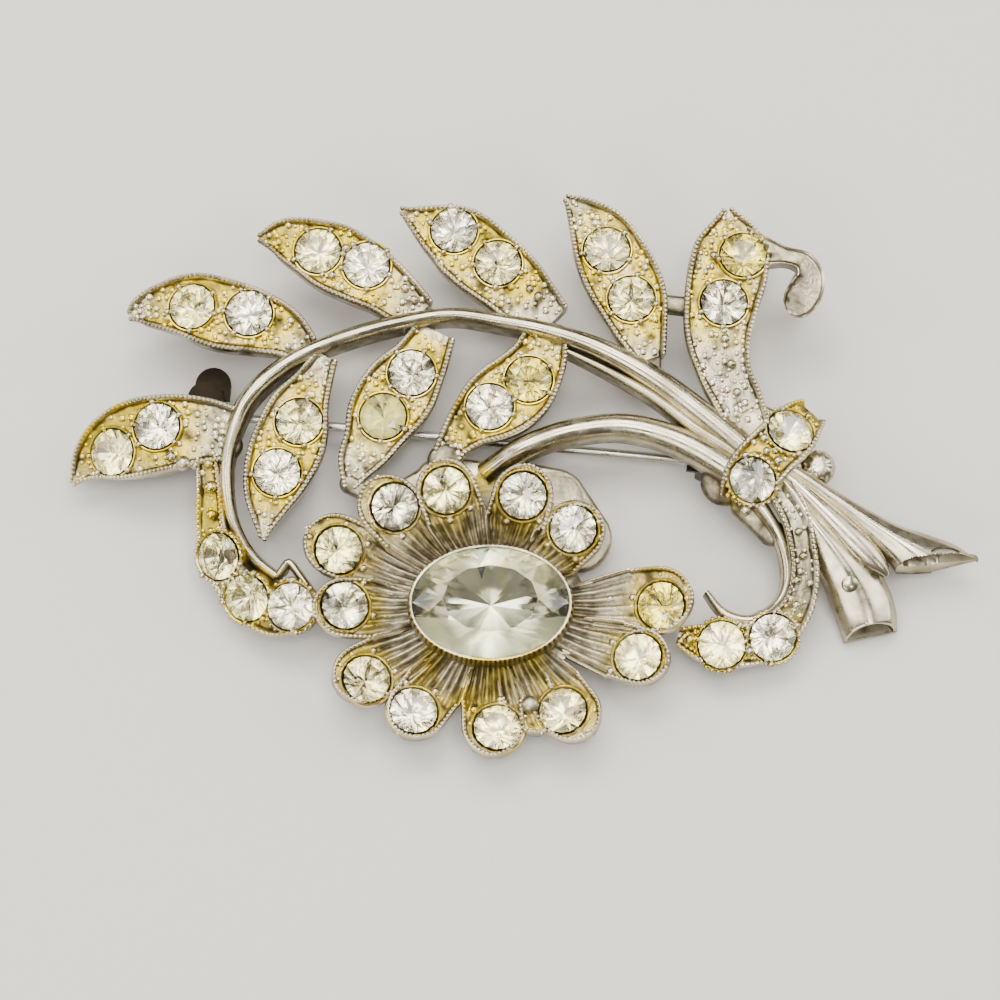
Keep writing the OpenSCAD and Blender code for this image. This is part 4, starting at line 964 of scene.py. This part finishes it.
def oval_ring(shell, profile, around=5 * RIBS):
    """Ring round the cup: profile points are growth, height, dirt and painted shade, gilding and share of the
    ribs' depth. Painted shade darkens the grooves between the ribs, the wall under the stone and the cup's
    underside.
    """
    at = oval_place[0]
    points, dirt_and_shade_values, gilts = [], [], []
    for i in range(around):
        a = 2 * math.pi * i / around
        groove, _ = rib_groove(np.array([OVAL[0] * math.cos(a), OVAL[1] * math.sin(a)]))
        for grow, z, d, g, rib in profile:
            grow -= 0.2 * groove * rib
            points.append(at + np.array([(OVAL[0] + grow) * math.cos(a), (OVAL[1] + grow) * math.sin(a), z]))
            dirt_and_shade_values.append(d + 0.8 * groove * rib)
            gilts.append(g)
    shell.add(points, turned_faces(around, len(profile)), dirt_and_shade_values, gilts)


oval_ring(flower, [(-4.98, cup_low, 0.5, 0, 0), (0.25, cup_low, 0.5, 0, 0), (0.45, cup_low + 0.4, 0.5, 0, 0),
                   (0.45, -2.4, 0.5, 0.3, 0), (0.5, -1.6, 0.3, 0.5, 0.6), (0.46, -0.8, 0.25, 0.6, 1),
                   (0.4, -0.25, 0.2, 0.5, 1), (0.32, -0.02, 0.15, 0.3, 0.6), (0.22, 0.1, 0.05, 0.1, 0.2),
                   (0.12, 0.12, 0, 0, 0), (0.0, 0.08, 0.6, 0.1, 0), (0.06, -0.05, 1, 0.2, 0),
                   (0.06, -0.6, 1, 0.2, 0)])
oval_ring(flower, [(0.3, -4.0, 0.6, 0.1, 0), (1.8, -4.0, 0.6, 0.1, 0), (1.8, -3.35, 0.6, 0.1, 0),
                   (0.3, -3.25, 0.9, 0.1, 0)])
bead(flower, (0.95, -21.0, 6.25), 0.85, dirt_and_shade=0.45, gilt=0.1, fine=True, flat=0.8)
flower_piece = flower.build("flower_casting", FLOWER_METAL, FLOWER_STAINS, flower_places)
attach(flower_piece, "brooch")
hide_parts("flower")

# The pin, its hinge and the catch keep their own shapes.
for node, material in (("pin_stem", STEEL), ("hinge", FITTINGS), ("catch", FITTINGS)):
    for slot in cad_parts[node].material_slots:
        slot.material = material

# Floor, light and camera.
floor_mesh = bpy.data.meshes.new("floor")
floor_mesh.from_pydata([(-2, -2, 0), (2, -2, 0), (2, 2, 0), (-2, 2, 0)], [], [(0, 1, 2, 3)])
floor = bpy.data.objects.new("floor", floor_mesh)
bpy.context.scene.collection.objects.link(floor)
paper, _, paper_shader = new_material("pale matt paper")
paper_shader.inputs["Base Color"].default_value = linear("#CFCBC3")
paper_shader.inputs["Roughness"].default_value = 0.9
floor_mesh.materials.append(paper)

world = bpy.data.worlds.new("studio")
bpy.context.scene.world = world
world.use_nodes = True
world.node_tree.nodes["Background"].inputs[0].default_value = (1.0, 0.98, 0.95, 1)
world.node_tree.nodes["Background"].inputs[1].default_value = 0.18


def soft_light(name, at, size, watts, colour=(1, 1, 1)):
    """Rectangular lamp that faces the brooch."""
    data = bpy.data.lights.new(name, "AREA")
    data.shape = "RECTANGLE"
    data.size, data.size_y = size
    data.energy = watts
    data.color = colour
    lamp = bpy.data.objects.new(name, data)
    lamp.location = at
    lamp.rotation_euler = (Vector((0, 0, 0)) - Vector(at)).to_track_quat("-Z", "Y").to_euler()
    bpy.context.scene.collection.objects.link(lamp)


soft_light("overhead box", (-0.05, 0.2, 0.45), (0.4, 0.22), 3.0, (1.0, 0.97, 0.92))
soft_light("box behind the camera", (0.03, -0.1, 0.6), (0.3, 0.2), 2.4)
for x, y, z, wide in ((-0.2, -0.12, 0.42, 0.05), (0.22, -0.24, 0.36, 0.05), (-0.3, 0.28, 0.32, 0.06),
                      (0.3, 0.34, 0.34, 0.06), (0.12, 0.05, 0.5, 0.04), (-0.08, -0.34, 0.3, 0.05)):
    soft_light(f"small box {wide} {x}", (x, y, z), (wide, wide), 0.22)
soft_light("left box", (-0.42, 0.0, 0.26), (0.2, 0.36), 1.1)
soft_light("right box", (0.4, 0.08, 0.24), (0.22, 0.4), 1.3)
soft_light("front left box", (-0.22, -0.34, 0.3), (0.22, 0.2), 0.9)

CAMERA_AWAY = 0.26           # metres from the brooch
TILT = math.radians(72)      # how steeply the camera looks down
PIXELS_PER_MM = 11.0         # the photograph's scale at the brooch
HALF_FRAME = 500             # pixels
VIEW_MIDDLE = (-1.73, -2.44)     # what the middle of the frame shows, 4 mm over the floor
aim = Vector(((VIEW_MIDDLE[0] - MIDDLE[0]) / 1000, (VIEW_MIDDLE[1] - MIDDLE[1]) / 1000, 0.004))
lens = bpy.data.cameras.new("camera")
lens.sensor_fit = "HORIZONTAL"
lens.sensor_width = 36
lens.angle = 2 * math.atan(HALF_FRAME / (PIXELS_PER_MM * 1000 * CAMERA_AWAY))
lens.clip_start = 0.01
camera = bpy.data.objects.new("camera", lens)
camera.location = aim + CAMERA_AWAY * Vector((0, -math.cos(TILT), math.sin(TILT)))
camera.rotation_euler = (aim - camera.location).to_track_quat("-Z", "Y").to_euler()
bpy.context.scene.collection.objects.link(camera)
bpy.context.scene.camera = camera
